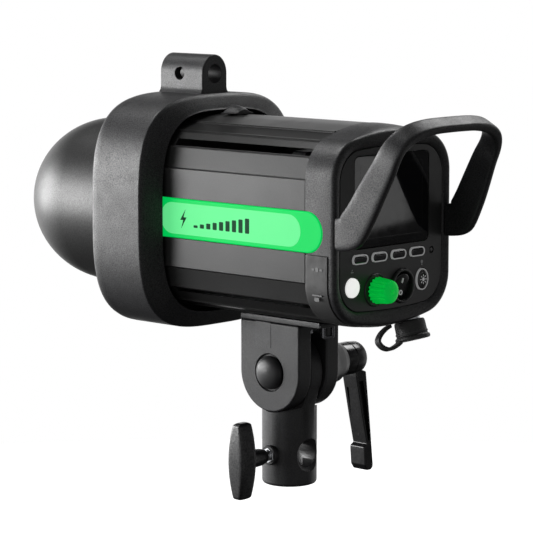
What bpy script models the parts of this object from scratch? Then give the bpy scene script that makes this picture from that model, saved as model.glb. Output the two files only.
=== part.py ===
"""Monolight strobe: head, tilting yoke, stand socket and controls.

Frame: origin on the stand socket's bore at its lower face, +Z up, -Y towards
the light, +Y towards the control panel, +X the strobe's left side. Metres.
"""

import math

import bmesh
import bpy
from mathutils import Matrix, Vector

# ---------------------------------------------------------------- dimensions
GAP = 0.0003                    # clearance between neighbouring pieces

# stand socket and tilt joint
BARREL_R = 0.01646
BARREL_TOP = 0.0505
SPIGOT_R = 0.0081               # bore for a 16 mm light-stand spigot
BORE_DEPTH = 0.040
CROSS_Z = 0.0187
PIVOT_Z = 0.0689
EAR_R = 0.0236
EAR_RELIEF = 0.0006             # clearance round the ears in the socket
TILT_LIMIT = math.radians(75.5)
EAR_OUT = 0.0178
EAR_IN = 0.0067
TONGUE_R = 0.0222
TONGUE_HALF = 0.0052
WASHER_THICK = EAR_IN - TONGUE_HALF - 2 * GAP
SLOT_TOP = 0.0955
YOKE_TOP = 0.0990
BOLT_R = 0.0040
BOLT_CAP_R = 0.01005

# clamping lever
SPACER_END = 0.0425
HUB_R = 0.0102
HUB_END = 0.0612
LEVER_TIP_Z = -0.0025
LEVER_LEAN_TOP = 0.0635
LEVER_LEAN_TIP = 0.0705

# tee screw
TEE_Z = 0.0190
BOSS_R = 0.0060
BOSS_END = 0.0190
WING_IN = 0.0346
WING_OUT = 0.0479
WING_HALF_WIDTH = 0.0066
WING_HALF_LENGTH = 0.0230

# head
AXIS_Z = 0.1607                 # height of the light axis
SHELL_W = 0.0517                # half width of the mid shell
SHELL_H = 0.0590                # half height of the mid shell
SHELL_WALL = 0.0022
SHELL_FRONT = -0.0600
SEAM_Y = 0.0593
REAR_Y = 0.08075
COLLAR_FRONT = -0.1015
COLLAR_BACK = -0.0570
COLLAR_LIP = -0.0528            # the rear face leans back towards its opening
COLLAR_W = 0.0680
COLLAR_H = 0.0706
COLLAR_POWER = 3.4
CAP_R = 0.0515                  # protective dome
CAP_NOSE = 0.0565
CAP_SPRING_Y = -0.1465
CAP_WALL = 0.0020
LENS_HALF = 0.0118
LENS_END_Y = 0.0606

# rod holder on the collar
ROD_Z = 0.2430
ROD_R = 0.0058
ROD_HALF_W = 0.0106
ROD_FRONT = -0.0980
ROD_BACK = -0.0617
ROD_SCREW_Y = -0.0815

# rear panel
PANEL_BACK = 0.0768
PANEL_FACE = 0.0799
PANEL_W = 0.0449
PANEL_H = 0.0471
WINDOW_W = 0.0330
WINDOW_LOW = 0.1502
WINDOW_HIGH = 0.2035
KEY_Z = 0.1446
KEY_X = [0.0278, 0.0111, -0.0057, -0.0224]
KEY_HALF_W = 0.0063
KEY_HALF_H = 0.0026
TEST_X, TEST_Z, TEST_R = 0.0345, 0.1290, 0.0056
DIAL_X, DIAL_Z, DIAL_R = 0.0143, 0.1258, 0.0078
DIAL_END = 0.0925
ROCKER_X, ROCKER_Z, ROCKER_R = -0.0089, 0.1260, 0.0100
ROCKER_Y = 0.0768
ROCKER_TILT = math.radians(12)
MODEL_X, MODEL_Z = -0.0270, 0.1280
SENSOR_X, SENSOR_Z, SENSOR_R = -0.0357, 0.1445, 0.0019

# rubber cover over the ports, counted in points of the housing's section
COVER_FIRST = -7
SYNC_Y = 0.0685
SYNC_DROP = 0.0205              # sync jack's distance below the light axis

# connector under the rear housing
INLET = Vector((-0.0250, 0.0715, 0.1040))
INLET_LEAN = math.radians(17)

# carrying handle
HANDLE_LEAN = math.radians(28)
HANDLE_THICK = 0.0056
HANDLE_BASE_Y = 0.0955
HANDLE_BASE_Z = 0.1696
HANDLE_LOW_HALF = 0.0102        # half-width of the band at the elbow
HANDLE_TOP_HALF = 0.0054        # half-width of the band at the grip
HANDLE_TOP = 0.0596             # up the lean, from the elbow to the grip
HANDLE_ARCH_START = 0.0331
HANDLE_ARCH_HALF = 0.0445
HANDLE_POWER = 3.5

BLACK = ((0.020, 0.020, 0.021), 0.42, 0.0)
SATIN = ((0.035, 0.035, 0.037), 0.50, 0.0)
CAST = ((0.045, 0.045, 0.048), 0.50, 0.3)
RUBBER = ((0.016, 0.016, 0.016), 0.75, 0.0)
STEEL = ((0.60, 0.60, 0.62), 0.28, 1.0)
BRASS = ((0.70, 0.52, 0.24), 0.35, 1.0)
GREEN = ((0.02, 0.80, 0.30), 0.25, 0.0)
WHITE = ((0.86, 0.87, 0.88), 0.30, 0.0)
GLOSS = ((0.008, 0.008, 0.009), 0.08, 0.0)
BOARD = ((0.02, 0.16, 0.07), 0.45, 0.0)
ALUMINIUM = ((0.55, 0.56, 0.58), 0.35, 1.0)
CERAMIC = ((0.82, 0.80, 0.76), 0.45, 0.0)


# ------------------------------------------------------------------- helpers
def clear_scene():
    """Remove the start-up objects."""
    for obj in list(bpy.data.objects):
        bpy.data.objects.remove(obj, do_unlink=True)


def make_material(name, look):
    """A Principled material from (colour, roughness, metallic)."""
    colour, roughness, metallic = look
    material = bpy.data.materials.new(name + "_material")
    material.use_nodes = True
    shader = material.node_tree.nodes["Principled BSDF"]
    shader.inputs["Base Color"].default_value = (*colour, 1.0)
    shader.inputs["Roughness"].default_value = roughness
    shader.inputs["Metallic"].default_value = metallic
    return material


def finish_mesh(name, bm):
    """Turn a bmesh in world coordinates into an unlinked mesh with outward faces."""
    bmesh.ops.remove_doubles(bm, verts=bm.verts, dist=0.000001)
    bmesh.ops.recalc_face_normals(bm, faces=bm.faces)
    mesh = bpy.data.meshes.new(name)
    bm.to_mesh(mesh)
    bm.free()
    mesh.shade_smooth()
    mesh.set_sharp_from_angle(angle=math.radians(35))
    return mesh


def add_object(name, mesh, origin=(0, 0, 0)):
    """Link a mesh given in world coordinates, with its origin moved to a point."""
    origin = Vector(origin)
    mesh.transform(Matrix.Translation(-origin))
    obj = bpy.data.objects.new(name, mesh)
    obj.location = origin
    bpy.context.scene.collection.objects.link(obj)
    return obj


def node(name, look, bm, origin=(0, 0, 0)):
    """A finished piece with its own material."""
    obj = add_object(name, finish_mesh(name, bm), origin)
    obj.data.materials.append(make_material(name, look))
    return obj


def boolean(obj, name, bm, operation="DIFFERENCE"):
    """Cut a piece with a helper solid, or join the helper solid to it."""
    tool = add_object(obj.name + "_" + name, finish_mesh(name, bm))
    tool.hide_render = True
    tool.display_type = "WIRE"
    modifier = obj.modifiers.new(name, "BOOLEAN")
    modifier.operation = operation
    modifier.object = tool
    modifier.solver = "EXACT"


def loft(rings, bm=None, capped=True):
    """A skin through rings of equal point counts, with flat end caps."""
    bm = bm or bmesh.new()
    rows = [[bm.verts.new(point) for point in ring] for ring in rings]
    count = len(rows[0])
    for low, high in zip(rows, rows[1:]):
        for i in range(count):
            j = (i + 1) % count
            bm.faces.new((low[i], low[j], high[j], high[i]))
    if capped:
        bm.faces.new(rows[0])
        bm.faces.new(rows[-1])
    return bm


def tube(rings):
    """A closed wall: rings run along the outside and back along the inside."""
    return loft(rings + [rings[0]], capped=False)


def prism(outline, plane, start, end):
    """An outline of 2-D points pushed along the axis that its plane leaves out."""
    place = {
        "YZ": lambda p, h: (h, p[0], p[1]),
        "XZ": lambda p, h: (p[0], h, p[1]),
        "XY": lambda p, h: (p[0], p[1], h),
    }[plane]
    return loft([[place(p, h) for p in outline] for h in (start, end)])


def box(low, high):
    """A plain block from its lowest to its highest corner."""
    outline = [(low[0], low[1]), (high[0], low[1]), (high[0], high[1]), (low[0], high[1])]
    return prism(outline, "XY", low[2], high[2])


def ellipse(centre, radius_x, radius_y, count):
    """Points round an ellipse."""
    steps = [2 * math.pi * i / count for i in range(count)]
    return [(centre[0] + radius_x * math.cos(a), centre[1] + radius_y * math.sin(a)) for a in steps]


def circle(centre, radius, count=20):
    """Points round a circle."""
    return ellipse(centre, radius, radius, count)


def rounded_rectangle(low, high, radius, steps=4):
    """A rectangle outline whose corners are arcs."""
    corners = [(high[0] - radius, high[1] - radius), (low[0] + radius, high[1] - radius),
               (low[0] + radius, low[1] + radius), (high[0] - radius, low[1] + radius)]
    points = []
    for quarter, (x, y) in enumerate(corners):
        for i in range(steps + 1):
            angle = math.pi / 2 * (quarter + i / steps)
            points.append((x + radius * math.cos(angle), y + radius * math.sin(angle)))
    return points


def capsule(centre, half_width, half_height, steps=3):
    """A lying stadium outline."""
    low = (centre[0] - half_width, centre[1] - half_height)
    high = (centre[0] + half_width, centre[1] + half_height)
    return rounded_rectangle(low, high, half_height * 0.999, steps)


def turned(profile, origin, axis, count=24):
    """A body of revolution from (radius, height) points along an axis.

    A profile that starts and ends on the axis is solid; any other one is a
    closed ring-shaped section.
    """
    turn = Vector((0, 0, 1)).rotation_difference(Vector(axis)).to_matrix()
    origin = Vector(origin)
    solid = profile[0][0] == 0 and profile[-1][0] == 0
    bm = bmesh.new()

    def place(radius, height, angle):
        local = Vector((radius * math.cos(angle), radius * math.sin(angle), height))
        return origin + turn @ local

    angles = [2 * math.pi * i / count for i in range(count)]
    inner = profile[1:-1] if solid else profile
    rings = [[place(r, h, a) for a in angles] for r, h in inner]
    if not solid:
        return loft(rings + [rings[0]], bm, capped=False)
    loft(rings, bm, capped=False)
    bm.verts.ensure_lookup_table()
    for height, first in ((profile[0][1], 0), (profile[-1][1], (len(inner) - 1) * count)):
        tip = bm.verts.new(place(0, height, 0))
        bm.verts.ensure_lookup_table()
        for i in range(count):
            bm.faces.new((bm.verts[first + i], bm.verts[first + (i + 1) % count], tip))
    return bm


def rod(radius, start, end, count=20):
    """A cylinder between two points."""
    start, end = Vector(start), Vector(end)
    length = (end - start).length
    profile = [(0, 0), (radius, 0), (radius, length), (0, length)]
    return turned(profile, start, (end - start).normalized(), count)


def ring(outer, inner, start, end, count=24):
    """A tube between two points."""
    start, end = Vector(start), Vector(end)
    length = (end - start).length
    profile = [(outer, 0), (outer, length), (inner, length), (inner, 0)]
    return turned(profile, start, (end - start).normalized(), count)


def squircle(half_w, half_h, power, y, count=44):
    """A superellipse round the light axis."""
    points = []
    for i in range(count):
        angle = 2 * math.pi * i / count
        c, s = math.cos(angle), math.sin(angle)
        x = math.copysign(abs(c) ** (2 / power), c) * half_w
        z = math.copysign(abs(s) ** (2 / power), s) * half_h
        points.append((x, y, AXIS_Z + z))
    return points


def crowned_section(half_w, half_h, corner, crown, y):
    """The body's section: flat sides, round corners, gently crowned top and bottom."""
    side = half_h - crown - corner
    quadrant = [(half_w, 0.6 * side)]
    last_angle = 80
    for angle in range(0, last_angle + 1, 20):
        a = math.radians(angle)
        quadrant.append((half_w - corner + corner * math.cos(a), side + corner * math.sin(a)))
    x_end, z_end = quadrant[-1]
    for share in (0.66, 0.33):
        quadrant.append((x_end * share, half_h - (half_h - z_end) * share ** 2))
    top = quadrant + [(0, half_h)] + [(-x, z) for x, z in reversed(quadrant)]
    whole = top + [(-x, -z) for x, z in top]
    return [(x, y, AXIS_Z + z) for x, z in whole]


def housing_section(y, offset=0.0):
    """The rear housing's section at a depth: it rounds off towards the panel."""
    share = max(0.0, (y - SEAM_Y) / (REAR_Y - SEAM_Y))
    fall = 1 - math.sqrt(max(0.0, 1 - share ** 2.6))
    half_w = SHELL_W + 0.0003 - 0.0008 * fall + offset
    half_h = SHELL_H - 0.0051 * fall + offset
    return crowned_section(half_w, half_h, 0.024 - 0.002 * fall + offset, 0.0055 - 0.0045 * fall, y)


def sweep(centres, normals, widths, half_thick):
    """A flat band: a rounded section carried along points.

    widths are the half-width vectors, normals the thin direction.
    """
    section = [(1, 0.45), (0.86, 1), (-0.86, 1), (-1, 0.45),
               (-1, -0.45), (-0.86, -1), (0.86, -1), (1, -0.45)]
    rings = []
    for centre, normal, width in zip(centres, normals, widths):
        rings.append([centre + width * a + normal * half_thick * b for a, b in section])
    return loft(rings)


def round_tube(points, radius, sides=8):
    """A bent round bar through points."""
    points = [Vector(p) for p in points]
    rings = []
    side = None
    for i, point in enumerate(points):
        ahead = points[min(i + 1, len(points) - 1)] - points[max(i - 1, 0)]
        ahead.normalize()
        side = side or ahead.orthogonal()
        side = (side - ahead * side.dot(ahead)).normalized()
        up = ahead.cross(side)
        turn = [2 * math.pi * k / sides for k in range(sides)]
        rings.append([point + (side * math.cos(a) + up * math.sin(a)) * radius for a in turn])
    return loft(rings)


# -------------------------------------------------------------- stand socket
def swung_ear(turn):
    """The upper part of an ear's outline, tilted about the pivot, with clearance."""
    half, top = EAR_R + EAR_RELIEF, YOKE_TOP - PIVOT_Z + EAR_RELIEF
    corners = [(-half, 0), (half, 0), (half, top), (-half, top)]
    c, s = math.cos(turn), math.sin(turn)
    return [(y * c - z * s, PIVOT_Z + y * s + z * c) for y, z in corners]


def build_stand_socket():
    """Barrel with its bore, cross bore and screw boss, and the tongue on top."""
    barrel = turned([(0, 0), (0.0150, 0), (BARREL_R, 0.0014), (BARREL_R, BARREL_TOP),
                     (0, BARREL_TOP)], (0, 0, 0), (0, 0, 1), 32)
    socket = node("stand_socket", CAST, barrel)
    pivot = Vector((0, 0, PIVOT_Z))
    for sign in (1, -1):
        start = pivot + Vector((sign * (TONGUE_HALF + 0.0002), 0, 0))
        end = pivot + Vector((sign * 0.03, 0, 0))
        side = "left" if sign > 0 else "right"
        boolean(socket, "relief_" + side, rod(EAR_R + EAR_RELIEF, start, end, 36))
        for place, turn in (("front", TILT_LIMIT), ("rear", -TILT_LIMIT)):
            boolean(socket, "relief_%s_%s" % (side, place), prism(swung_ear(turn), "YZ", start.x, end.x))
    tongue_outline = []
    for i in range(25):
        angle = math.radians(-28 + 236 * i / 24)
        tongue_outline.append((TONGUE_R * math.cos(angle), PIVOT_Z + TONGUE_R * math.sin(angle)))
    tongue_outline += [(-0.0155, 0.0420), (0.0155, 0.0420)]
    boolean(socket, "tongue", prism(tongue_outline, "YZ", -TONGUE_HALF, TONGUE_HALF), "UNION")
    boss_inner = (0.0120, 0, TEE_Z)
    boolean(socket, "boss", rod(BOSS_R, boss_inner, (BOSS_END, 0, TEE_Z)), "UNION")
    boolean(socket, "spigot_bore", rod(SPIGOT_R, (0, 0, -0.01), (0, 0, BORE_DEPTH)))
    boolean(socket, "cross_bore", rod(SPIGOT_R, (0, -0.03, CROSS_Z), (0, 0.03, CROSS_Z)))
    boolean(socket, "screw_hole", rod(0.0033, (0.004, 0, TEE_Z), (0.025, 0, TEE_Z), 16))
    boolean(socket, "pivot_hole", rod(BOLT_R + GAP, (-0.02, 0, PIVOT_Z), (0.02, 0, PIVOT_Z), 16))


def build_tee_screw():
    """Tee handle, its steel screw and the brass pad that presses the spigot."""
    axis = (1, 0, 0)
    origin = (WING_IN, 0, TEE_Z)
    stations = [(-1.0, 0.62, 0.28), (-0.95, 0.76, 0.42), (-0.75, 0.88, 0.68), (-0.4, 0.97, 0.91), (0, 1, 1),
                (0.4, 0.97, 0.91), (0.75, 0.88, 0.68), (0.95, 0.76, 0.42), (1.0, 0.62, 0.28)]
    middle = (WING_IN + WING_OUT) / 2
    half_x = (WING_OUT - WING_IN) / 2
    rings = []
    for along, deep, wide in stations:
        z = TEE_Z + along * WING_HALF_LENGTH
        low = (middle - half_x * deep, -WING_HALF_WIDTH * wide)
        high = (middle + half_x * deep, WING_HALF_WIDTH * wide)
        rings.append([(x, y, z) for x, y in rounded_rectangle(low, high, 0.0016, 2)])
    wing = node("tee_wing", BLACK, loft(rings), origin)
    neck = [(0, 0), (0.0042, 0), (0.0055, 0.003), (0.0058, 0.0155), (0, 0.0155)]
    boolean(wing, "neck", turned(neck, (0.0225, 0, TEE_Z), axis, 20), "UNION")
    node("tee_screw", STEEL, rod(0.0029, (0.0102, 0, TEE_Z), (0.0222, 0, TEE_Z), 16), (0.0102, 0, TEE_Z))
    node("tee_pad", BRASS, rod(0.0029, (0.0083, 0, TEE_Z), (0.0099, 0, TEE_Z), 16), (0.0083, 0, TEE_Z))


# ---------------------------------------------------------------------- yoke
def build_yoke():
    """Two ears under a bridge, and the plate between the bridge and the shell."""
    outline = [(-EAR_R, YOKE_TOP), (-EAR_R, PIVOT_Z)]
    for i in range(1, 20):
        angle = math.pi + math.pi * i / 20
        outline.append((EAR_R * math.cos(angle), PIVOT_Z + EAR_R * math.sin(angle)))
    outline += [(EAR_R, PIVOT_Z), (EAR_R, YOKE_TOP)]
    yoke = node("yoke_bracket", CAST, prism(outline, "YZ", -EAR_OUT, EAR_OUT), (0, 0, PIVOT_Z))
    boolean(yoke, "slot", box((-EAR_IN, -0.04, 0.02), (EAR_IN, 0.04, SLOT_TOP)))
    boolean(yoke, "bolt_hole", rod(BOLT_R + GAP, (-0.03, 0, PIVOT_Z), (0.03, 0, PIVOT_Z), 16))
    boolean(yoke, "cap_recess", rod(0.0114, (EAR_OUT - 0.0008, 0, PIVOT_Z), (0.03, 0, PIVOT_Z), 28))
    crown = []
    for i in range(9):
        x = EAR_OUT * (1 - i / 4)
        crown.append((x, AXIS_Z - SHELL_H + 0.0055 * (x / 0.032) ** 2 - 2 * GAP))
    plate_outline = crown + [(-EAR_OUT, YOKE_TOP + GAP), (EAR_OUT, YOKE_TOP + GAP)]
    plate = node("base_plate", CAST, prism(plate_outline, "XZ", -EAR_R, 0.0400))
    for place, y in (("front", -0.0150), ("rear", 0.0150)):
        profile = [(0, 0), (0.0036, 0), (0.0036, 0.0026), (0.0020, 0.0026),
                   (0.0020, 0.0170), (0, 0.0170)]
        node("yoke_bolt_" + place, STEEL, turned(profile, (0, y, 0.0926), (0, 0, 1), 12))
        for piece in (yoke, plate):
            boolean(piece, "screw_" + place, rod(0.0023, (0, y, 0.0930), (0, y, 0.1060), 16))
    for side, sign in (("left", 1), ("right", -1)):
        start = Vector((sign * (TONGUE_HALF + GAP), 0, PIVOT_Z))
        end = start + Vector((sign * WASHER_THICK, 0, 0))
        node("friction_washer_" + side, BRASS, ring(0.0150, BOLT_R + GAP, start, end, 24))


def build_safety_loop():
    """Rectangular eye behind the yoke for a safety cable."""
    outer = rounded_rectangle((-0.0050, 0.0905), (0.0050, 0.0989), 0.0012, 2)
    loop = node("safety_loop", STEEL, prism(outer, "XZ", 0.0295, 0.0315))
    inner = rounded_rectangle((-0.0032, 0.0922), (0.0032, 0.0970), 0.0008, 2)
    boolean(loop, "eye", prism(inner, "XZ", 0.02, 0.04))


def build_pivot_bolt():
    """Domed bolt through ears and tongue, and the conical spacer beyond them."""
    dome = [(0, 0)]
    for i in range(1, 6):
        angle = math.radians(90 * i / 6)
        dome.append((BOLT_CAP_R * math.sin(angle), 0.0046 * (1 - math.cos(angle))))
    dome += [(BOLT_CAP_R, 0.0046), (BOLT_CAP_R, 0.0051), (BOLT_R, 0.0051), (BOLT_R, 0.0724), (0, 0.0724)]
    node("pivot_bolt", CAST, turned(dome, (0.0224, 0, PIVOT_Z), (-1, 0, 0), 20))
    hole = BOLT_R + GAP
    length = SPACER_END - EAR_OUT - GAP
    spacer = [(0.0192, 0), (0.0180, 0.0022), (0.0135, length - 0.0080), (0.0109, length),
              (hole, length), (hole, 0)]
    node("cone_spacer", BLACK, turned(spacer, (-EAR_OUT - GAP, 0, PIVOT_Z), (-1, 0, 0), 24))


def build_clamp_lever():
    """Adjustable lever: toothed nut, spring, retaining screw and the arm."""
    start = -SPACER_END - GAP
    pivot = (start, 0, PIVOT_Z)
    nut = [(0.0062, 0), (0.0062, 0.0112), (0.0025, 0.0112), (0.0025, 0.0078), (BOLT_R + GAP, 0.0078),
           (BOLT_R + GAP, 0)]
    node("clamp_nut", STEEL, turned(nut, pivot, (-1, 0, 0), 18), pivot)
    screw = [(0, 0.0085), (0.0021, 0.0085), (0.0021, 0.0166), (0.0044, 0.0166),
             (0.0044, 0.0181), (0, 0.0181)]
    node("lever_screw", STEEL, turned(screw, pivot, (-1, 0, 0), 16), pivot)
    spring = [(0.0040, 0.0136), (0.0040, 0.0163), (0.0025, 0.0163), (0.0025, 0.0136)]
    node("lever_spring", STEEL, turned(spring, pivot, (-1, 0, 0), 16), pivot)
    length = HUB_END - SPACER_END - GAP
    hub = [(HUB_R - 0.0008, 0), (HUB_R, 0.0012), (HUB_R, 0.0120), (HUB_R - 0.0006, length - 0.0016),
           (HUB_R - 0.0022, length), (0.0049, length), (0.0049, 0.0133), (0.0026, 0.0133),
           (0.0026, 0.0117), (0.0066, 0.0117), (0.0066, 0)]
    lever = node("clamp_lever", BLACK, turned(hub, pivot, (-1, 0, 0), 20), pivot)
    arm = [(-0.0545, 0.0610), (-0.0545, 0.0570), (-0.0646, 0.0140), (-0.0620, 0.0125), (-0.0628, 0.0000),
           (-0.0650, LEVER_TIP_Z), (-0.0690, LEVER_TIP_Z), (-LEVER_LEAN_TIP, 0.0000),
           (-LEVER_LEAN_TOP, 0.0600), (-0.0600, 0.0610)]
    centre = sum(x for x, _ in arm) / len(arm), sum(z for _, z in arm) / len(arm)
    thin = [(centre[0] + (x - centre[0]) * 0.97, centre[1] + (z - centre[1]) * 0.99) for x, z in arm]
    rings = []
    for y, outline in ((-0.0059, thin), (-0.0050, arm), (0.0050, arm), (0.0059, thin)):
        rings.append([(x, y, z) for x, z in outline])
    boolean(lever, "arm", loft(rings), "UNION")


# -------------------------------------------------------------------- collar
def build_front_collar():
    """Rounded-square ring with the rod holder cast on top."""
    outer = [squircle(COLLAR_W - inset, COLLAR_H - inset, COLLAR_POWER, y) for y, inset in
             ((COLLAR_FRONT, 0.0036), (COLLAR_FRONT + 0.0010, 0.0012), (COLLAR_FRONT + 0.0036, 0.0),
              (COLLAR_BACK - 0.0012, 0.0), (COLLAR_BACK, 0.0012))]
    inner = [squircle(0.0534, 0.0607, 3.4, COLLAR_LIP), squircle(0.0534, 0.0607, 3.4, -0.0650),
             squircle(0.0535, 0.0550, 2.0, -0.0700), squircle(0.0535, 0.0535, 2.0, COLLAR_FRONT)]
    collar = node("front_collar", SATIN, tube(outer + inner))
    low = AXIS_Z + COLLAR_H - 0.0050
    arch = [(ROD_HALF_W + 0.0012, low), (ROD_HALF_W, low + 0.0080)]
    for i in range(13):
        angle = math.pi * i / 12
        arch.append((ROD_HALF_W * math.cos(angle), ROD_Z + 0.0116 * math.sin(angle)))
    arch += [(-ROD_HALF_W, low + 0.0080), (-ROD_HALF_W - 0.0012, low)]
    boolean(collar, "rod_holder", prism(arch, "XZ", ROD_FRONT, ROD_BACK), "UNION")
    boolean(collar, "rod_bore", rod(ROD_R, (0, -0.11, ROD_Z), (0, -0.04, ROD_Z)))
    start, end = (-0.02, ROD_SCREW_Y, ROD_Z), (0.02, ROD_SCREW_Y, ROD_Z)
    boolean(collar, "screw_hole", rod(0.0039, start, end, 16))


def build_rod_screw():
    """Thumbscrew of the rod holder and the pad at its tip."""
    grip = [(0, 0)]
    grip += [(0.0026, 0), (0.0026, 0.0062), (0.0070, 0.0066), (0.0078, 0.0076), (0.0078, 0.0126),
             (0.0068, 0.0136), (0, 0.0136)]
    origin = (-0.0088, ROD_SCREW_Y, ROD_Z)
    node("rod_thumbscrew", BLACK, turned(grip, origin, (-1, 0, 0), 24), origin)
    pad_end = (-0.0060, ROD_SCREW_Y, ROD_Z)
    node("rod_pad", BRASS, rod(0.0034, (-0.0085, ROD_SCREW_Y, ROD_Z), pad_end, 16), pad_end)


def build_dome():
    """Protective dome: a bullet-shaped shell, open towards the lamp."""
    skirt_y = -0.0720
    outer = [(CAP_R, 0), (CAP_R, skirt_y - CAP_SPRING_Y)]
    inner = [(CAP_R - CAP_WALL, skirt_y - CAP_SPRING_Y), (CAP_R - CAP_WALL, 0)]
    steps = 8
    for i in range(1, steps):
        angle = math.pi / 2 * i / steps
        outer.insert(0, (CAP_R * math.cos(angle), -CAP_NOSE * math.sin(angle)))
        inner.append(((CAP_R - CAP_WALL) * math.cos(angle), -(CAP_NOSE - CAP_WALL) * math.sin(angle)))
    profile = [(0, -CAP_NOSE)] + outer + inner + [(0, -(CAP_NOSE - CAP_WALL))]
    dome = turned(profile, (0, CAP_SPRING_Y, AXIS_Z), (0, 1, 0), 32)
    node("protective_dome", GLOSS, dome, (0, 0, AXIS_Z))


# --------------------------------------------------------------------- shell
def shell_outline():
    """Section of the mid shell: a flat side panel, shingled facets and thin ribs."""
    quadrant = [(0.0517, 0.0292), (0.0503, 0.0297), (0.0476, 0.0417), (0.0462, 0.0423),
                (0.0395, 0.0499), (0.0390, 0.0511), (0.0374, 0.0512), (0.0268, 0.0545),
                (0.0262, 0.0556), (0.0244, 0.0556), (0.0130, 0.0579)]
    top = quadrant + [(0, SHELL_H)] + [(-x, z) for x, z in reversed(quadrant)]
    return top + [(-x, -z) for x, z in top]


def build_mid_shell():
    """Extruded tube round the electronics, with a slot for the latch."""
    outer = shell_outline()
    inner = [(x * (1 - SHELL_WALL / SHELL_W), z * (1 - SHELL_WALL / SHELL_H)) for x, z in outer]
    back = SEAM_Y - GAP
    rings = [[(x, y, AXIS_Z + z) for x, z in points] for points, y in
             ((outer, SHELL_FRONT), (outer, back), (inner, back), (inner, SHELL_FRONT))]
    shell = node("mid_shell", BLACK, tube(rings))
    boolean(shell, "latch_slot", box((-0.0042, -0.0510, 0.2100), (0.0042, -0.0330, 0.2300)))
    for place, y in (("front", -0.0150), ("rear", 0.0150)):
        boolean(shell, "screw_" + place, rod(0.0023, (0, y, 0.0980), (0, y, 0.1080), 16))
    return shell


def lens_outline(grow=0.0):
    """Side strip seen from the side: square at the collar, round at the back."""
    half = LENS_HALF + grow
    points = [(-0.0585 - 10 * grow, -half)]
    for i in range(13):
        angle = -math.pi / 2 + math.pi * i / 12
        points.append((LENS_END_Y + half * math.cos(angle), half * math.sin(angle)))
    points.append((-0.0585 - 10 * grow, half))
    return [(y, AXIS_Z + z) for y, z in points]


def build_side_lenses(shell, housing):
    """A light strip let into each side of the shell and the rear housing."""
    for side, sign in (("left", 1), ("right", -1)):
        node("side_lens_" + side, GREEN, prism(lens_outline(), "YZ", sign * 0.0501, sign * 0.0522))
        for piece in (shell, housing):
            boolean(piece, "lens_" + side, prism(lens_outline(GAP), "YZ", sign * 0.0498, sign * 0.06))


def build_release_latch():
    """Arched thumb tab behind the collar and its return spring."""
    top = AXIS_Z + SHELL_H
    arch = [(0.0105, top + 0.0001), (0.0072, top + 0.0020), (0.0035, top + 0.0044), (0, top + 0.0052),
            (-0.0035, top + 0.0044), (-0.0072, top + 0.0020), (-0.0105, top + 0.0001)]
    under = [(-0.0060, top + GAP), (0.0060, top + GAP)]
    latch = prism(arch + under, "XZ", -0.0450, -0.0370)
    latch = node("release_latch", SATIN, latch, (0, -0.0470, top))
    boolean(latch, "foot", box((-0.0035, -0.0440, top - 0.0060), (0.0035, -0.0400, top + 0.0020)), "UNION")
    spring_z = top - 0.0048
    node("latch_spring", STEEL, ring(0.0019, 0.0011, (0, -0.0395, spring_z), (0, -0.0290, spring_z), 12))


# -------------------------------------------------------------- rear housing
def build_rear_housing():
    """Cup behind the shell with a rim round the control panel."""
    front = SEAM_Y + GAP
    depths = (front, 0.0680, 0.0740, 0.0778, 0.0799, REAR_Y)
    outer = [housing_section(y) for y in depths]
    lip = [crowned_section(PANEL_W + grow, PANEL_H + grow, 0.0180 + grow, 0.0010, y)
           for y, grow in ((REAR_Y, 0.0010), (REAR_Y - 0.0012, GAP), (0.0750, GAP))]
    inner = [housing_section(0.0735, -SHELL_WALL), housing_section(front, -SHELL_WALL)]
    housing = node("rear_housing", SATIN, tube(outer + lip + inner))
    boolean(housing, "port_recess", curved_plate(-0.0009, 0.0050, 0.0005, GAP))
    sync_z = AXIS_Z - SYNC_DROP
    boolean(housing, "sync_hole", rod(0.0042, (0.0400, SYNC_Y, sync_z), (0.06, SYNC_Y, sync_z), 20))
    low, high = (0.0400, 0.0637, AXIS_Z - 0.0375), (0.06, 0.0733, AXIS_Z - 0.0322)
    boolean(housing, "data_hole", box(low, high))
    lean = inlet_axis()
    boolean(housing, "inlet_hole", rod(0.0074, INLET - lean * 0.012, INLET + lean * 0.010, 20))
    return housing


def curved_plate(inner_offset, outer_offset, grow, gap):
    """A plate that follows the housing's lower left side."""
    front, back = SEAM_Y + 0.0008 - 2 * gap, 0.0765 + grow
    picked = range(COVER_FIRST, -1)
    sections = []
    for y in (front, (front + back) / 2, back):
        low = housing_section(y, inner_offset)
        high = housing_section(y, outer_offset)
        inside = [Vector(low[i]) for i in picked]
        outside = [Vector(high[i]) for i in picked]
        for row in (inside, outside):
            row[-1].z = AXIS_Z - 0.0127 + grow
            row[0] += (row[0] - row[1]).normalized() * grow
        sections.append(inside + outside[::-1])
    return loft(sections)


def build_port_cover():
    """Rubber flap over the sync and data ports."""
    hinge = Vector(housing_section(0.0680, 0.0002)[COVER_FIRST])
    node("port_cover", RUBBER, curved_plate(-0.0006, 0.0008, 0.0, 0.0), hinge)
    start = Vector((0.0430, SYNC_Y, AXIS_Z - SYNC_DROP))
    node("sync_jack", BRASS, ring(0.0038, 0.0018, start, start + Vector((0.0072, 0, 0)), 16))
    low, high = (0.0641, AXIS_Z - 0.0371), (0.0729, AXIS_Z - 0.0326)
    port = node("data_port", STEEL, prism(rounded_rectangle(low, high, 0.0008, 2), "YZ", 0.0430, 0.0485))
    low, high = (low[0] + 0.0006, low[1] + 0.0006), (high[0] - 0.0006, high[1] - 0.0006)
    boolean(port, "mouth", prism(rounded_rectangle(low, high, 0.0006, 2), "YZ", 0.0450, 0.0600))


def inlet_axis():
    """Direction in which the connector under the housing points."""
    return Vector((0, math.sin(INLET_LEAN), -math.cos(INLET_LEAN)))


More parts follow.
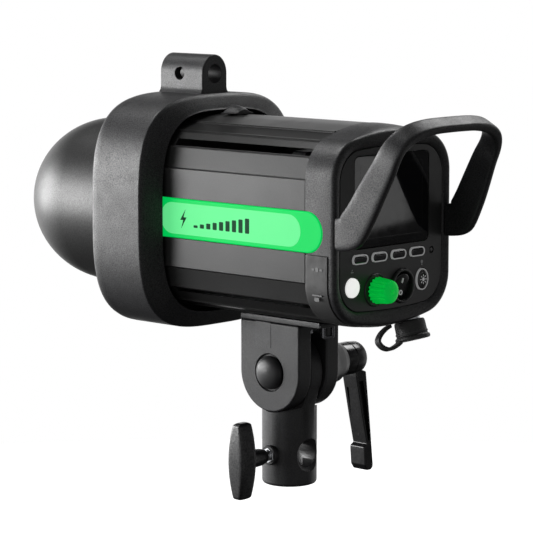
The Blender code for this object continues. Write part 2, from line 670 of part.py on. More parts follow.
def build_power_inlet():
    """Connector, its rubber dust cap and the tether strap."""
    axis = inlet_axis()
    inlet = [(0.0068, -0.0100), (0.0068, 0.0095), (0.0052, 0.0095), (0.0052, -0.0100)]
    node("power_inlet", ALUMINIUM, turned(inlet, INLET, axis, 20))
    cap = [(0, 0.0128), (0.0098, 0.0128), (0.0104, 0.0122), (0.0104, 0.0106), (0.0094, 0.0098),
           (0.0092, 0.0018), (0.0084, 0.0010), (0.0072, 0.0010), (0.0072, 0.0100), (0, 0.0100)]
    node("dust_cap", RUBBER, turned(cap, INLET, axis, 20), INLET)
    route = [(-0.0106, 0.0690, 0.1008), (-0.0066, 0.0693, 0.0996), (-0.0014, 0.0700, 0.0970),
             (0.0018, 0.0710, 0.0935), (-0.0006, 0.0722, 0.0900), (-0.0052, 0.0734, 0.0884),
             (-0.0100, 0.0744, 0.0898), (-0.0136, 0.0750, 0.0918)]
    points = [Vector(p) for p in route]
    centres, normals, widths = [], [], []
    for i, point in enumerate(points):
        ahead = (points[min(i + 1, len(points) - 1)] - points[max(i - 1, 0)]).normalized()
        across = Vector((0, math.cos(INLET_LEAN), math.sin(INLET_LEAN)))
        across = (across - ahead * across.dot(ahead)).normalized()
        centres.append(point)
        widths.append(across * 0.0017)
        normals.append(ahead.cross(across))
    node("cap_tether", RUBBER, sweep(centres, normals, widths, 0.0007))


# ------------------------------------------------------------- control panel
def build_rear_panel():
    """Control plate with its openings."""
    rings = [crowned_section(PANEL_W - inset, PANEL_H - inset, 0.0180, 0.0010, y)
             for y, inset in ((PANEL_BACK, 0), (PANEL_FACE - 0.0004, 0), (PANEL_FACE, 0.0004))]
    panel = node("rear_panel", BLACK, loft(rings))
    before, behind = PANEL_BACK - 0.005, PANEL_FACE + 0.005
    window = rounded_rectangle((-WINDOW_W, WINDOW_LOW), (WINDOW_W, WINDOW_HIGH), 0.0040, 4)
    boolean(panel, "window", prism(window, "XZ", before, behind))
    for number, x in enumerate(KEY_X, 1):
        outline = capsule((x, KEY_Z), KEY_HALF_W + GAP, KEY_HALF_H + GAP)
        boolean(panel, "key_%d" % number, prism(outline, "XZ", before, behind))
    round_holes = (("test", TEST_X, TEST_Z, TEST_R + GAP), ("dial", DIAL_X, DIAL_Z, 0.0036),
                   ("rocker", ROCKER_X, ROCKER_Z, ROCKER_R + GAP),
                   ("sensor", SENSOR_X, SENSOR_Z, SENSOR_R + GAP))
    for name, x, z, radius in round_holes:
        boolean(panel, name, prism(circle((x, z), radius), "XZ", before, behind))
    model = ellipse((MODEL_X, MODEL_Z), 0.0047 + GAP, 0.0058 + GAP, 24)
    boolean(panel, "model", prism(model, "XZ", before, behind))


def build_display():
    """Glass window in the panel and the display module behind it."""
    low = (-WINDOW_W + GAP, WINDOW_LOW + GAP)
    high = (WINDOW_W - GAP, WINDOW_HIGH - GAP)
    glass = prism(rounded_rectangle(low, high, 0.0037, 4), "XZ", 0.0772, PANEL_FACE - 0.0002)
    node("display_window", GLOSS, glass)
    node("display_module", SATIN, box((-0.0310, 0.0700, 0.1510), (0.0310, 0.0765, 0.2020)))


def button(name, look, outline, proud, top_scale):
    """A key whose face is slightly crowned, standing proud of the panel."""
    face = PANEL_FACE + proud
    centre_x = sum(x for x, _ in outline) / len(outline)
    centre_z = sum(z for _, z in outline) / len(outline)
    rings = [[(x, y, z) for x, z in outline] for y in (0.0752, face - 0.0005)]
    rings.append([(centre_x + (x - centre_x) * top_scale, face, centre_z + (z - centre_z) * top_scale)
                  for x, z in outline])
    node(name, look, loft(rings), (centre_x, PANEL_FACE, centre_z))


def build_buttons():
    """Four soft keys, the lit test button, the model lamp button, the sensor."""
    for number, x in enumerate(KEY_X, 1):
        button("soft_key_%d" % number, GLOSS, capsule((x, KEY_Z), KEY_HALF_W, KEY_HALF_H), 0.0010, 0.88)
    button("test_button", WHITE, circle((TEST_X, TEST_Z), TEST_R), 0.0010, 0.90)
    button("model_button", BLACK, ellipse((MODEL_X, MODEL_Z), 0.0047, 0.0058, 24), 0.0010, 0.88)
    start, end = (SENSOR_X, 0.0775, SENSOR_Z), (SENSOR_X, PANEL_FACE - 0.0002, SENSOR_Z)
    node("sensor_window", GLOSS, rod(SENSOR_R, start, end, 16))


def build_dial():
    """Ribbed dial and the rotary encoder that it turns."""
    ribs = 20
    start = PANEL_FACE + 0.0006
    length = DIAL_END - start
    rings = []
    for height, radius in ((0, DIAL_R - 0.0006), (0.0008, DIAL_R), (length - 0.0016, DIAL_R - 0.0010),
                           (length, DIAL_R - 0.0028)):
        ring_points = []
        for i in range(2 * ribs):
            angle = math.pi * i / ribs
            r = radius - (0.0005 if i % 2 else 0.0)
            x, z = DIAL_X + r * math.cos(angle), DIAL_Z + r * math.sin(angle)
            ring_points.append((x, start + height, z))
        rings.append(ring_points)
    dial = node("dial_knob", GREEN, loft(rings), (DIAL_X, PANEL_FACE, DIAL_Z))
    boolean(dial, "shaft_bore", rod(0.0033, (DIAL_X, 0.07, DIAL_Z), (DIAL_X, 0.0885, DIAL_Z), 16))
    low, high = (DIAL_X - 0.0060, 0.0665, DIAL_Z - 0.0065), (DIAL_X + 0.0060, 0.0765, DIAL_Z + 0.0065)
    encoder = node("rotary_encoder", STEEL, box(low, high))
    shaft = rod(0.0030, (DIAL_X, 0.0740, DIAL_Z), (DIAL_X, 0.0882, DIAL_Z), 16)
    boolean(encoder, "shaft", shaft, "UNION")


def build_power_switch():
    """Round switch bezel with its body behind the panel, and the rocker."""
    centre = (ROCKER_X, 0, ROCKER_Z)
    bezel = [(0, 0.0640), (0.0090, 0.0640), (0.0090, 0.0745), (ROCKER_R, 0.0750), (ROCKER_R, 0.0808),
             (ROCKER_R - 0.0006, 0.0814), (0.0084, 0.0814), (0.0084, 0.0722), (0, 0.0722)]
    node("power_switch", BLACK, turned(bezel, centre, (0, 1, 0), 24))
    axis_point = Vector((ROCKER_X, ROCKER_Y, ROCKER_Z))
    there = Matrix.Translation(axis_point)
    tilt = there @ Matrix.Rotation(-ROCKER_TILT, 4, "X") @ there.inverted()
    outline = circle((ROCKER_X, ROCKER_Z), 0.0078, 24)
    rings = []
    for depth, bend in ((-0.0020, 0.0), (0.0020, 0.0008)):
        rings.append([(x, ROCKER_Y + depth + bend * abs(z - ROCKER_Z) / 0.0078, z) for x, z in outline])
    bm = loft(rings)
    bmesh.ops.transform(bm, matrix=tilt, verts=bm.verts)
    node("power_rocker", BLACK, bm, axis_point)


# -------------------------------------------------------------------- handle
def handle_frame(up):
    """Centre and half-width vector of the band at a distance up the arms."""
    along = Vector((0, math.sin(HANDLE_LEAN), math.cos(HANDLE_LEAN)))
    across = Vector((0, math.cos(HANDLE_LEAN), -math.sin(HANDLE_LEAN)))
    share = min(1.0, max(0.0, up / HANDLE_TOP)) ** 1.5
    half = HANDLE_LOW_HALF + (HANDLE_TOP_HALF - HANDLE_LOW_HALF) * share
    return Vector((0, HANDLE_BASE_Y, HANDLE_BASE_Z)) + along * up, across * half


def handle_arch(steps):
    """Places and outward directions round one upper corner, up to the middle."""
    along = Vector((0, math.sin(HANDLE_LEAN), math.cos(HANDLE_LEAN)))
    rise = HANDLE_TOP - HANDLE_ARCH_START
    places = []
    for i in range(steps + 1):
        angle = math.pi / 2 * i / steps
        across = abs(math.cos(angle)) ** (2 / HANDLE_POWER)
        up = abs(math.sin(angle)) ** (2 / HANDLE_POWER)
        centre, width = handle_frame(HANDLE_ARCH_START + rise * up)
        normal = Vector((across ** (HANDLE_POWER - 1) / HANDLE_ARCH_HALF, 0, 0))
        normal += along * (up ** (HANDLE_POWER - 1) / rise)
        places.append((centre + Vector((HANDLE_ARCH_HALF * across, 0, 0)), normal.normalized(), width))
    return places


def build_handle():
    """One loop: two feet on the rim, arms that lean back and a cross grip."""
    side = Vector((1, 0, 0))
    half = [(Vector((0.0485, 0.08105, 0.1612)), side, Vector((0, 0, -0.0096))),
            (Vector((0.0486, 0.0850, 0.1615)), side, Vector((0, 0.0008, -0.0097))),
            (Vector((0.0486, 0.0890, 0.1628)), side, Vector((0, 0.0044, -0.0096))),
            (Vector((0.0484, 0.0925, 0.1655)), side, Vector((0, 0.0077, -0.0077)))]
    for x, up in ((0.0474, 0.006), (0.0463, 0.018)):
        centre, width = handle_frame(up)
        half.append((centre + side * x, side, width))
    half += handle_arch(9)
    flip = Vector((-1, 1, 1))
    whole = half + [(c * flip, n * flip, w) for c, n, w in reversed(half[:-1])]
    band = sweep([p[0] for p in whole], [p[1] for p in whole], [p[2] for p in whole], HANDLE_THICK / 2)
    node("carry_handle", SATIN, band)


# ----------------------------------------------------------------- internals
def build_lamp():
    """Flash tube, modelling lamp, their base and the reflector plate."""
    start = (0, -0.0668, AXIS_Z)
    node("reflector_plate", ALUMINIUM, ring(0.0515, 0.0185, start, (0, -0.0650, AXIS_Z), 28))
    lamp_base = [(0, 0), (0.0180, 0), (0.0180, 0.0130), (0.0165, 0.0150), (0, 0.0150)]
    base = node("lamp_base", CERAMIC, turned(lamp_base, (0, -0.0630, AXIS_Z), (0, -1, 0), 20))
    lamp = [(0, 0), (0.0085, 0), (0.0085, 0.0060), (0.0070, 0.0120), (0.0036, 0.0165), (0, 0.0178)]
    node("modelling_lamp", WHITE, turned(lamp, (0, -0.0783, AXIS_Z), (0, -1, 0), 20))
    ring_y, ring_r = -0.1080, 0.0230
    low = AXIS_Z - 0.0145
    points = [(0.0045, -0.0740, low), (0.0045, -0.0900, low), (0.0045, -0.1010, AXIS_Z - 0.0180)]
    for i in range(19):
        angle = math.radians(-78 + 336 * i / 18)
        points.append((ring_r * math.cos(angle), ring_y, AXIS_Z + ring_r * math.sin(angle)))
    points += [(-x, y, z) for x, y, z in reversed(points[:3])]
    node("flash_tube", WHITE, round_tube(points, 0.0028, 6))
    for side, x in (("left", 0.0045), ("right", -0.0045)):
        boolean(base, "tube_hole_" + side, rod(0.0031, (x, -0.0725, low), (x, -0.09, low), 16))


def build_electronics():
    """Capacitors, boards, heat sink, chassis plate and cooling fan."""
    for side, sign in (("left", 1), ("right", -1)):
        x, z = sign * 0.0215, AXIS_Z - 0.0290
        node("capacitor_" + side, ALUMINIUM, rod(0.0185, (x, -0.0380, z), (x, 0.0420, z), 24))
    low, high = (-0.0400, -0.0420, AXIS_Z - 0.0060), (0.0400, 0.0500, AXIS_Z - 0.0044)
    node("power_board", BOARD, box(low, high))
    low, high = (-0.0400, 0.0600, AXIS_Z - 0.0420), (0.0400, 0.0616, AXIS_Z + 0.0420)
    node("control_board", BOARD, box(low, high))
    low, high = (-0.0140, -0.0450, AXIS_Z - 0.0552), (0.0140, 0.0500, AXIS_Z - 0.0537)
    chassis = node("chassis_plate", ALUMINIUM, box(low, high))
    for place, y in (("front", -0.0150), ("rear", 0.0150)):
        boolean(chassis, "screw_" + place, rod(0.0023, (0, y, 0.1000), (0, y, 0.1120), 16))
    fins = [(-0.0300, 0.0020), (0.0300, 0.0020)]
    fin_count = 9
    pitch = 0.0600 / (2 * fin_count - 1)
    for i in range(fin_count):
        right = 0.0300 - 2 * i * pitch
        fins += [(right, 0.0270), (right - pitch, 0.0270)]
        if i < fin_count - 1:
            fins += [(right - pitch, 0.0060), (right - 2 * pitch, 0.0060)]
    node("heat_sink", ALUMINIUM, prism([(x, AXIS_Z + z) for x, z in fins], "XZ", -0.0420, 0.0150))
    fan_z = AXIS_Z + 0.0215
    square = rounded_rectangle((-0.0200, fan_z - 0.0200), (0.0200, fan_z + 0.0200), 0.0025, 2)
    frame = node("fan_frame", BLACK, prism(square, "XZ", 0.0200, 0.0300))
    boolean(frame, "duct", prism(circle((0, fan_z), 0.0188, 32), "XZ", 0.01, 0.04))
    blades = []
    blade_count = 7
    for i in range(blade_count):
        start = 2 * math.pi * i / blade_count
        for turn, radius in ((0.00, 0.0075), (0.10, 0.0180), (0.40, 0.0180), (0.30, 0.0075)):
            angle = start + turn
            blades.append((radius * math.cos(angle), fan_z + radius * math.sin(angle)))
    node("fan_rotor", BLACK, prism(blades, "XZ", 0.0215, 0.0285), (0, 0.0250, fan_z))


def main():
    """Build every piece."""
    clear_scene()
    build_stand_socket()
    build_tee_screw()
    build_yoke()
    build_safety_loop()
    build_pivot_bolt()
    build_clamp_lever()
    build_front_collar()
    build_rod_screw()
    build_dome()
    shell = build_mid_shell()
    housing = build_rear_housing()
    build_side_lenses(shell, housing)
    build_release_latch()
    build_port_cover()
    build_power_inlet()
    build_rear_panel()
    build_display()
    build_buttons()
    build_dial()
    build_power_switch()
    build_handle()
    build_lamp()
    build_electronics()


main()
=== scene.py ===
"""Looks of the monolight strobe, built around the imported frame."""
import math

import bmesh
import bpy
from mathutils import Matrix, Vector


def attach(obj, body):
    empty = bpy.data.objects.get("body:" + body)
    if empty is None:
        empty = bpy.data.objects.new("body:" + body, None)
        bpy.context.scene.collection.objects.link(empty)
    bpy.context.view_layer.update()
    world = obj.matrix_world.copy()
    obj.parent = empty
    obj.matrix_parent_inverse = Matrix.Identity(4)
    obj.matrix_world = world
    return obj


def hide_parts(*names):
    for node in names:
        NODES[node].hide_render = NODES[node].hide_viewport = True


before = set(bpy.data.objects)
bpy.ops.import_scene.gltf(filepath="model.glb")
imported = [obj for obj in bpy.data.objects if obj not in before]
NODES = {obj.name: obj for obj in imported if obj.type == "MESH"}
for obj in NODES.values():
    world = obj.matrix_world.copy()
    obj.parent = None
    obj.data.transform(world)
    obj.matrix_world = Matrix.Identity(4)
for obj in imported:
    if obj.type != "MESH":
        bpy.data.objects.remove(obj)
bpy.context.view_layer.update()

# ------------------------------------------------ sizes shared with the frame
GAP = 0.0003
AXIS_Z = 0.1607
PIVOT_Z = 0.0689
BARREL_R = 0.01646
BARREL_TOP = 0.0505
SPIGOT_R = 0.0081
CROSS_Z = 0.0187
EAR_R, EAR_OUT, EAR_IN = 0.0236, 0.0178, 0.0067
TONGUE_R, TONGUE_HALF = 0.0222, 0.0052
SLOT_TOP, YOKE_TOP = 0.0955, 0.0990
BOLT_R = 0.0040
SPACER_END, HUB_END = 0.0425, 0.0612
TEE_Z = 0.0190
SHELL_W, SHELL_H, SHELL_FRONT = 0.0517, 0.0590, -0.0600
SEAM_Y, REAR_Y = 0.0593, 0.08075
COLLAR_FRONT, COLLAR_BACK, COLLAR_W, COLLAR_H, COLLAR_POWER = -0.1015, -0.0570, 0.0680, 0.0706, 3.4
CAP_R, CAP_NOSE, CAP_SPRING_Y = 0.0515, 0.0565, -0.1465
LENS_HALF, LENS_END_Y = 0.0118, 0.0606
ROD_Z, ROD_R, ROD_HALF_W, ROD_SCREW_Y = 0.2430, 0.0058, 0.0106, -0.0815
PANEL_W, PANEL_H, PANEL_FACE = 0.0449, 0.0471, 0.0795
WINDOW_W, WINDOW_LOW, WINDOW_HIGH = 0.0330, 0.1502, 0.2035
KEY_Z, KEY_HALF_W, KEY_HALF_H = 0.1446, 0.0063, 0.0026
KEY_X = [0.0278, 0.0111, -0.0057, -0.0224]
TEST = (0.0345, 0.1290)
DIAL = (0.0143, 0.1258)
ROCKER = (-0.0089, 0.1260)
MODEL = (-0.0270, 0.1280)
SENSOR = (-0.0357, 0.1445)
TILT_RELIEF = 75.5
LUG_FRONT, LUG_BACK = -0.0980, -0.0617
MOUTH_W, MOUTH_H = 0.0534, 0.0607
STRIP_FACE, STRIP_FLOOR = 0.05235, 0.0498
PORT_Z = AXIS_Z - 0.0205
ROCKER_R = 0.0078
CAMERA_AT = (1.1147, 1.0230, 0.3334)
CAMERA_LOOK = (-0.7241, -0.6768, -0.1328)
CAMERA_LENS = 173.15
INLET = Vector((-0.0250, 0.0715, 0.1040))
INLET_AXIS = Vector((0, math.sin(math.radians(17)), -math.cos(math.radians(17))))
HANDLE_LEAN = math.radians(28)


# ------------------------------------------------------------------ materials
class Graph:
    """Short names for adding and linking shader nodes."""

    def __init__(self, name):
        self.material = bpy.data.materials.new(name)
        self.material.use_nodes = True
        self.tree = self.material.node_tree
        self.shader = self.tree.nodes["Principled BSDF"]

    def node(self, kind, settings=None, **inputs):
        made = self.tree.nodes.new("ShaderNode" + kind)
        for key, value in (settings or {}).items():
            setattr(made, key, value)
        for key, value in inputs.items():
            self.put(made.inputs[key.replace("_", " ")], value)
        return made

    def put(self, socket, value):
        if hasattr(value, "links"):
            self.tree.links.new(value, socket)
        else:
            socket.default_value = value

    def set(self, name, value):
        self.put(self.shader.inputs[name], value)

    def noise(self, coords, scale, detail=3.0, roughness=0.55, stretch=None):
        if stretch:
            coords = self.node("Mapping", Vector=coords, Scale=stretch).outputs[0]
        made = self.node("TexNoise", Vector=coords, Scale=scale, Detail=detail, Roughness=roughness)
        return made.outputs["Fac"]

    def remap(self, value, low, high, out_low, out_high):
        made = self.node("MapRange", Value=value)
        for index, number in zip((1, 2, 3, 4), (low, high, out_low, out_high)):
            made.inputs[index].default_value = number
        return made.outputs[0]

    def mix(self, factor, first, second):
        made = self.node("Mix", {"data_type": "RGBA"})
        self.put(made.inputs[0], factor)
        self.put(made.inputs[6], first)
        self.put(made.inputs[7], second)
        return made.outputs[2]


def rgba(colour, gain=1.0):
    return tuple(min(1.0, c * gain) for c in colour) + (1.0,)


def surface(name, colour, rough, metal=0.0, mottle=(30, 0.12), grain=(1500, 0.25, 0.00006),
            spread=0.05, speckle=None, wear_and_highlight=None, streak=None, coat=None, glow=None, ior=1.5, spark=0.0):
    """A moulded, cast or machined finish with its own fine detail.

    mottle: scale and depth of the slow tone change; grain: scale, strength and
    depth in metres of the fine relief; speckle: share and gain of light grains;
    wear_and_highlight: gain of the lighter tone on convex edges, partly edge wear and partly a painted
    highlight; streak: direction scale of fine lines;
    spark: how far single grains differ in shine.
    """
    g = Graph(name)
    coords = g.node("TexCoord").outputs["Object"]
    slow = g.noise(coords, mottle[0], 4.0)
    fine = g.noise(coords, grain[0], 2.0)
    shade = g.remap(slow, 0.3, 0.7, 0.0, 1.0)
    base = g.mix(shade, rgba(colour, 1 - mottle[1]), rgba(colour, 1 + mottle[1]))
    if speckle:
        spots = g.remap(g.noise(coords, grain[0] * 0.8, 1.0), 0.62, 0.70, 0.0, speckle[0])
        base = g.mix(spots, base, rgba(colour, speckle[1]))
    # Lighter tone on convex edges: partly edge wear, partly a painted highlight.
    if wear_and_highlight:
        edge = g.node("NewGeometry").outputs["Pointiness"]
        worn_and_lit_edge = g.node("Math", {"operation": "MULTIPLY"})
        g.put(worn_and_lit_edge.inputs[0], g.remap(edge, 0.515, 0.56, 0.0, 1.0))
        g.put(worn_and_lit_edge.inputs[1], g.remap(slow, 0.35, 0.65, 0.3, 1.0))
        base = g.mix(worn_and_lit_edge.outputs[0], base, rgba(colour, wear_and_highlight))
    g.set("Base Color", base)
    height = fine
    if streak:
        height = g.noise(coords, 1.0, 2.0, 0.5, streak)
    g.set("Roughness", g.remap(g.noise(coords, mottle[0] * 3.1, 3.0), 0.3, 0.7, rough - spread,
            rough + spread))
    bump = g.node("Bump", Height=height, Strength=grain[1], Distance=grain[2])
    g.set("Normal", bump.outputs[0])
    g.set("Metallic", metal)
    g.set("IOR", ior)
    if spark:
        g.set("Specular IOR Level", g.remap(g.noise(coords, grain[0] * 0.9, 1.0), 0.3, 0.7, 0.5 - spark,
                0.5 + spark))
    if coat:
        g.set("Coat Weight", coat[0])
        g.set("Coat Roughness", coat[1])
    # Emission: a real lamp on the test key; on the strip, dial, key rims and white print it is a painted
    # glow.
    if glow:
        g.set("Emission Color", g.mix(shade, rgba(glow[0], 0.94), rgba(glow[0], 1.0)))
        g.set("Emission Strength", glow[1])
    return g.material


def make_materials():
    """Every finish, by a short name."""
    m = {
        "dome": surface("dome_smoke", (0.012, 0.012, 0.012), 0.40, mottle=(14, 0.10),
            grain=(1700, 0.35, 0.00006), spread=0.02, spark=0.16, ior=1.45),
        "satin": surface("satin_plastic", (0.016, 0.016, 0.017), 0.44, mottle=(40, 0.10),
            grain=(1800, 0.45, 0.00008), speckle=(0.30, 2.2), wear_and_highlight=1.5, spark=0.30, ior=1.40),
        "shell": surface("gloss_plastic", (0.012, 0.012, 0.012), 0.34, mottle=(22, 0.10),
            grain=(1500, 0.06, 0.00004), spread=0.02, wear_and_highlight=1.5, spark=0.05, ior=1.32),
        "cast": surface("cast_enamel", (0.017, 0.017, 0.018), 0.42, mottle=(55, 0.14),
            grain=(1700, 0.45, 0.00008), speckle=(0.35, 2.0), wear_and_highlight=1.7, spark=0.14, ior=1.37),
        "turned_black": surface("turned_black", (0.016, 0.016, 0.017), 0.38, mottle=(45, 0.12),
            grain=(1, 0.20, 0.00006), streak=(120, 120, 2600), wear_and_highlight=1.7, spark=0.2, ior=1.40),
        "knob_black": surface("knob_plastic", (0.009, 0.009, 0.010), 0.33, mottle=(60, 0.12),
            grain=(1000, 0.25, 0.00006), speckle=(0.2, 1.8), wear_and_highlight=1.5, spark=0.2),
        "lever_black": surface("lever_enamel", (0.004, 0.004, 0.0045), 0.22, mottle=(60, 0.15),
            grain=(900, 0.10, 0.00004), spread=0.03, wear_and_highlight=1.6, spark=0.1),
        "rubber": surface("rubber_black", (0.016, 0.016, 0.016), 0.60, mottle=(70, 0.18),
            grain=(1500, 0.40, 0.00008), spread=0.08, wear_and_highlight=1.6),
        "steel": surface("zinc_steel", (0.62, 0.63, 0.65), 0.24, 1.0, mottle=(120, 0.10),
            grain=(1, 0.25, 0.00004), streak=(2500, 200, 200), spread=0.08),
        "dark_steel": surface("dark_steel", (0.16, 0.16, 0.17), 0.22, 1.0, mottle=(160, 0.15),
            grain=(1, 0.20, 0.00003), streak=(2200, 300, 300), spread=0.06),
        "brass": surface("machined_brass", (0.70, 0.50, 0.22), 0.30, 1.0, mottle=(150, 0.15),
            grain=(1, 0.25, 0.00004), streak=(200, 2500, 200), spread=0.08),
        "aluminium": surface("plain_aluminium", (0.55, 0.56, 0.58), 0.36, 1.0, mottle=(80, 0.10),
            grain=(1, 0.30, 0.00005), streak=(150, 1500, 150), spread=0.08),
        "panel": surface("panel_plastic", (0.018, 0.018, 0.018), 0.42, mottle=(45, 0.10),
            grain=(1600, 0.30, 0.00005), speckle=(0.2, 1.8)),
        "gloss": surface("key_gloss", (0.010, 0.010, 0.011), 0.12, mottle=(160, 0.12),
            grain=(600, 0.03, 0.00003), spread=0.03, coat=(0.6, 0.06)),
        # Key rims: light grey print, plus a painted glow that brightens them.
        "bezel": surface("key_rim", (0.42, 0.43, 0.44), 0.30, mottle=(200, 0.15),
            grain=(900, 0.08, 0.00003), spread=0.06, glow=((1.0, 1.0, 1.0), 0.16)),
        "screen": surface("display_glass", (0.004, 0.004, 0.005), 0.05, mottle=(60, 0.20),
            grain=(300, 0.01, 0.00002), spread=0.015),
        # Side strip rim and core: green plastic, plus a painted glow; the strip is no lamp.
        "green": surface("strip_green_painted_glow", (0.0, 0.24, 0.045), 0.45, mottle=(18, 0.05),
            grain=(700, 0.05, 0.00003), glow=((0.0, 1.0, 0.16), 0.50), ior=1.15),
        "mint": surface("strip_painted_glow", (0.040, 0.26, 0.085), 0.45, mottle=(14, 0.05),
            grain=(700, 0.05, 0.00003), glow=((0.16, 1.0, 0.34), 0.68), ior=1.15),
        # Dial: green plastic, plus a painted glow.
        "knob_green": surface("dial_green_painted_glow", (0.0, 0.62, 0.08), 0.36, mottle=(120, 0.10),
            grain=(1400, 0.20, 0.00004), glow=((0.0, 1.0, 0.10), 0.24), ior=1.2),
        "lamp_white": surface("lamp_white", (0.86, 0.87, 0.86), 0.30, mottle=(220, 0.04),
            grain=(900, 0.05, 0.00003), glow=((1.0, 1.0, 0.98), 0.70)),
        # White print, plus a painted glow.
        "print": surface("print_white_painted_glow", (0.72, 0.73, 0.74), 0.45, mottle=(300, 0.10),
            grain=(1500, 0.10, 0.00002), glow=((1.0, 1.0, 1.0), 0.10)),
        "faint_print": surface("print_grey", (0.33, 0.34, 0.34), 0.50, mottle=(300, 0.10),
            grain=(1500, 0.10, 0.00002)),
        "sign_grey": surface("sign_grey", (0.060, 0.061, 0.062), 0.50, mottle=(300, 0.10),
            grain=(1500, 0.10, 0.00002)),
        "strip_print": surface("print_dark", (0.004, 0.050, 0.020), 0.60, mottle=(300, 0.10),
            grain=(1500, 0.05, 0.00002), ior=1.15),
        "board": surface("circuit_board", (0.02, 0.16, 0.07), 0.40, mottle=(200, 0.25),
            grain=(2200, 0.20, 0.00004), speckle=(0.6, 2.5)),
        "ceramic": surface("white_ceramic", (0.82, 0.80, 0.76), 0.42, mottle=(90, 0.06),
            grain=(1500, 0.20, 0.00005)),
        "glass": surface("tube_glass", (0.90, 0.91, 0.92), 0.06, mottle=(60, 0.03),
            grain=(300, 0.02, 0.00002), spread=0.02),
    }
    m["glass"].node_tree.nodes["Principled BSDF"].inputs["Transmission Weight"].default_value = 0.85
    return m


MATERIALS = make_materials()


# ------------------------------------------------------------ shape functions
def loft(rings, bm=None, capped=True):
    """Faces between rings of points, with flat ends if capped."""
    bm = bm or bmesh.new()
    rows = []
    for ring in rings:
        rows.append([bm.verts.new(p) for p in ring])
    count = len(rows[0])
    for low, high in zip(rows, rows[1:]):
        for i in range(count):
            j = (i + 1) % count
            bm.faces.new((low[i], low[j], high[j], high[i]))
    if capped:
        bm.faces.new(rows[0][::-1])
        bm.faces.new(rows[-1])
    return bm


def tube(rings):
    """A closed ring-shaped skin: the last ring joins the first."""
    bm = loft(rings + [rings[0]], capped=False)
    bmesh.ops.remove_doubles(bm, verts=bm.verts, dist=1e-7)
    return bm


def prism(outline, plane, start, end):
    """An outline in the XZ, YZ or XY plane, extruded along the third axis."""
    order = {"XZ": lambda a, b, d: (a, d, b), "YZ": lambda a, b, d: (d, a, b),
             "XY": lambda a, b, d: (a, b, d)}[plane]
    return loft([[order(a, b, d) for a, b in outline] for d in (start, end)])


def box(low, high):
    outline = [(low[0], low[1]), (high[0], low[1]), (high[0], high[1]), (low[0], high[1])]
    return prism(outline, "XY", low[2], high[2])


def ellipse(centre, radius_x, radius_y, count=48):
    angles = [2 * math.pi * i / count for i in range(count)]
    return [(centre[0] + radius_x * math.cos(a), centre[1] + radius_y * math.sin(a)) for a in angles]


def circle(centre, radius, count=48):
    return ellipse(centre, radius, radius, count)


def rounded_rectangle(low, high, radius, steps=8):
    corners = [(high[0] - radius, high[1] - radius), (low[0] + radius, high[1] - radius),
               (low[0] + radius, low[1] + radius), (high[0] - radius, low[1] + radius)]
    points = []
    for quarter, (x, y) in enumerate(corners):
        for i in range(steps + 1):
            angle = math.pi / 2 * (quarter + i / steps)
            points.append((x + radius * math.cos(angle), y + radius * math.sin(angle)))
    return points


def capsule(centre, half_width, half_height, steps=10):
    low = (centre[0] - half_width, centre[1] - half_height)
    high = (centre[0] + half_width, centre[1] + half_height)
    return rounded_rectangle(low, high, min(half_width, half_height) * 0.999, steps)


def turned(profile, origin, axis, count=64, wave=None):
    """A body of revolution from (radius, height) points along an axis.

    wave(angle, radius, height) may change the radius, for ribs and knurls.
    """
    turn = Vector((0, 0, 1)).rotation_difference(Vector(axis)).to_matrix()
    origin = Vector(origin)
    solid = profile[0][0] == 0 and profile[-1][0] == 0
    rings = []
    for radius, height in (profile[1:-1] if solid else profile):
        row = []
        for i in range(count):
            a = 2 * math.pi * i / count
            r = wave(a, radius, height) if wave else radius
            row.append(origin + turn @ Vector((r * math.cos(a), r * math.sin(a), height)))
        rings.append(row)
    if not solid:
        return tube(rings)
    bm = loft(rings, capped=False)
    bm.verts.ensure_lookup_table()
    for height, first in ((profile[0][1], 0), (profile[-1][1], (len(rings) - 1) * count)):
        tip = bm.verts.new(origin + turn @ Vector((0, 0, height)))
        bm.verts.ensure_lookup_table()
        for i in range(count):
            bm.faces.new((bm.verts[first + i], bm.verts[first + (i + 1) % count], tip))
    return bm


def rod(radius, start, end, count=48):
    start, end = Vector(start), Vector(end)
    length = (end - start).length
    return turned([(0, 0), (radius, 0), (radius, length), (0, length)], start, (end - start).normalized(),
            count)


def smooth_path(points, steps):
    """Catmull-Rom points through vectors (or tuples of vectors)."""
    out = []
    last = len(points) - 1
    for i in range(last):
        p = [points[max(0, i - 1)], points[i], points[i + 1], points[min(last, i + 2)]]
        for k in range(steps):
            t = k / steps
            out.append(0.5 * (2 * p[1] + (p[2] - p[0]) * t + (2 * p[0] - 5 * p[1] + 4 * p[2] - p[3]) * t * t
                              + (3 * p[1] - p[0] - 3 * p[2] + p[3]) * t ** 3))
    out.append(points[last])
    return out


def thread(radius, depth, pitch, start, axis, turns, count=32):
    """A helical ridge: a thread with real relief."""
    turn = Vector((0, 0, 1)).rotation_difference(Vector(axis)).to_matrix()
    start = Vector(start)
    rows = []
    for i in range(int(turns * count) + 1):
        a = 2 * math.pi * i / count
        h = pitch * i / count
        row = []
        for r, dh in ((radius - depth, -0.48), (radius, -0.08), (radius, 0.08), (radius - depth, 0.48)):
            row.append(start + turn @ Vector((r * math.cos(a), r * math.sin(a), h + dh * pitch)))
        row.append(start + turn @ Vector(((radius - 2 * depth) * math.cos(a),
                (radius - 2 * depth) * math.sin(a), h)))
        rows.append(row)
    return loft(rows)


def shape(name, bm):
    """A mesh object with outward faces."""
    bmesh.ops.recalc_face_normals(bm, faces=bm.faces)
    mesh = bpy.data.meshes.new(name)
    bm.to_mesh(mesh)
    bm.free()
    obj = bpy.data.objects.new(name, mesh)
    bpy.context.scene.collection.objects.link(obj)
    return obj


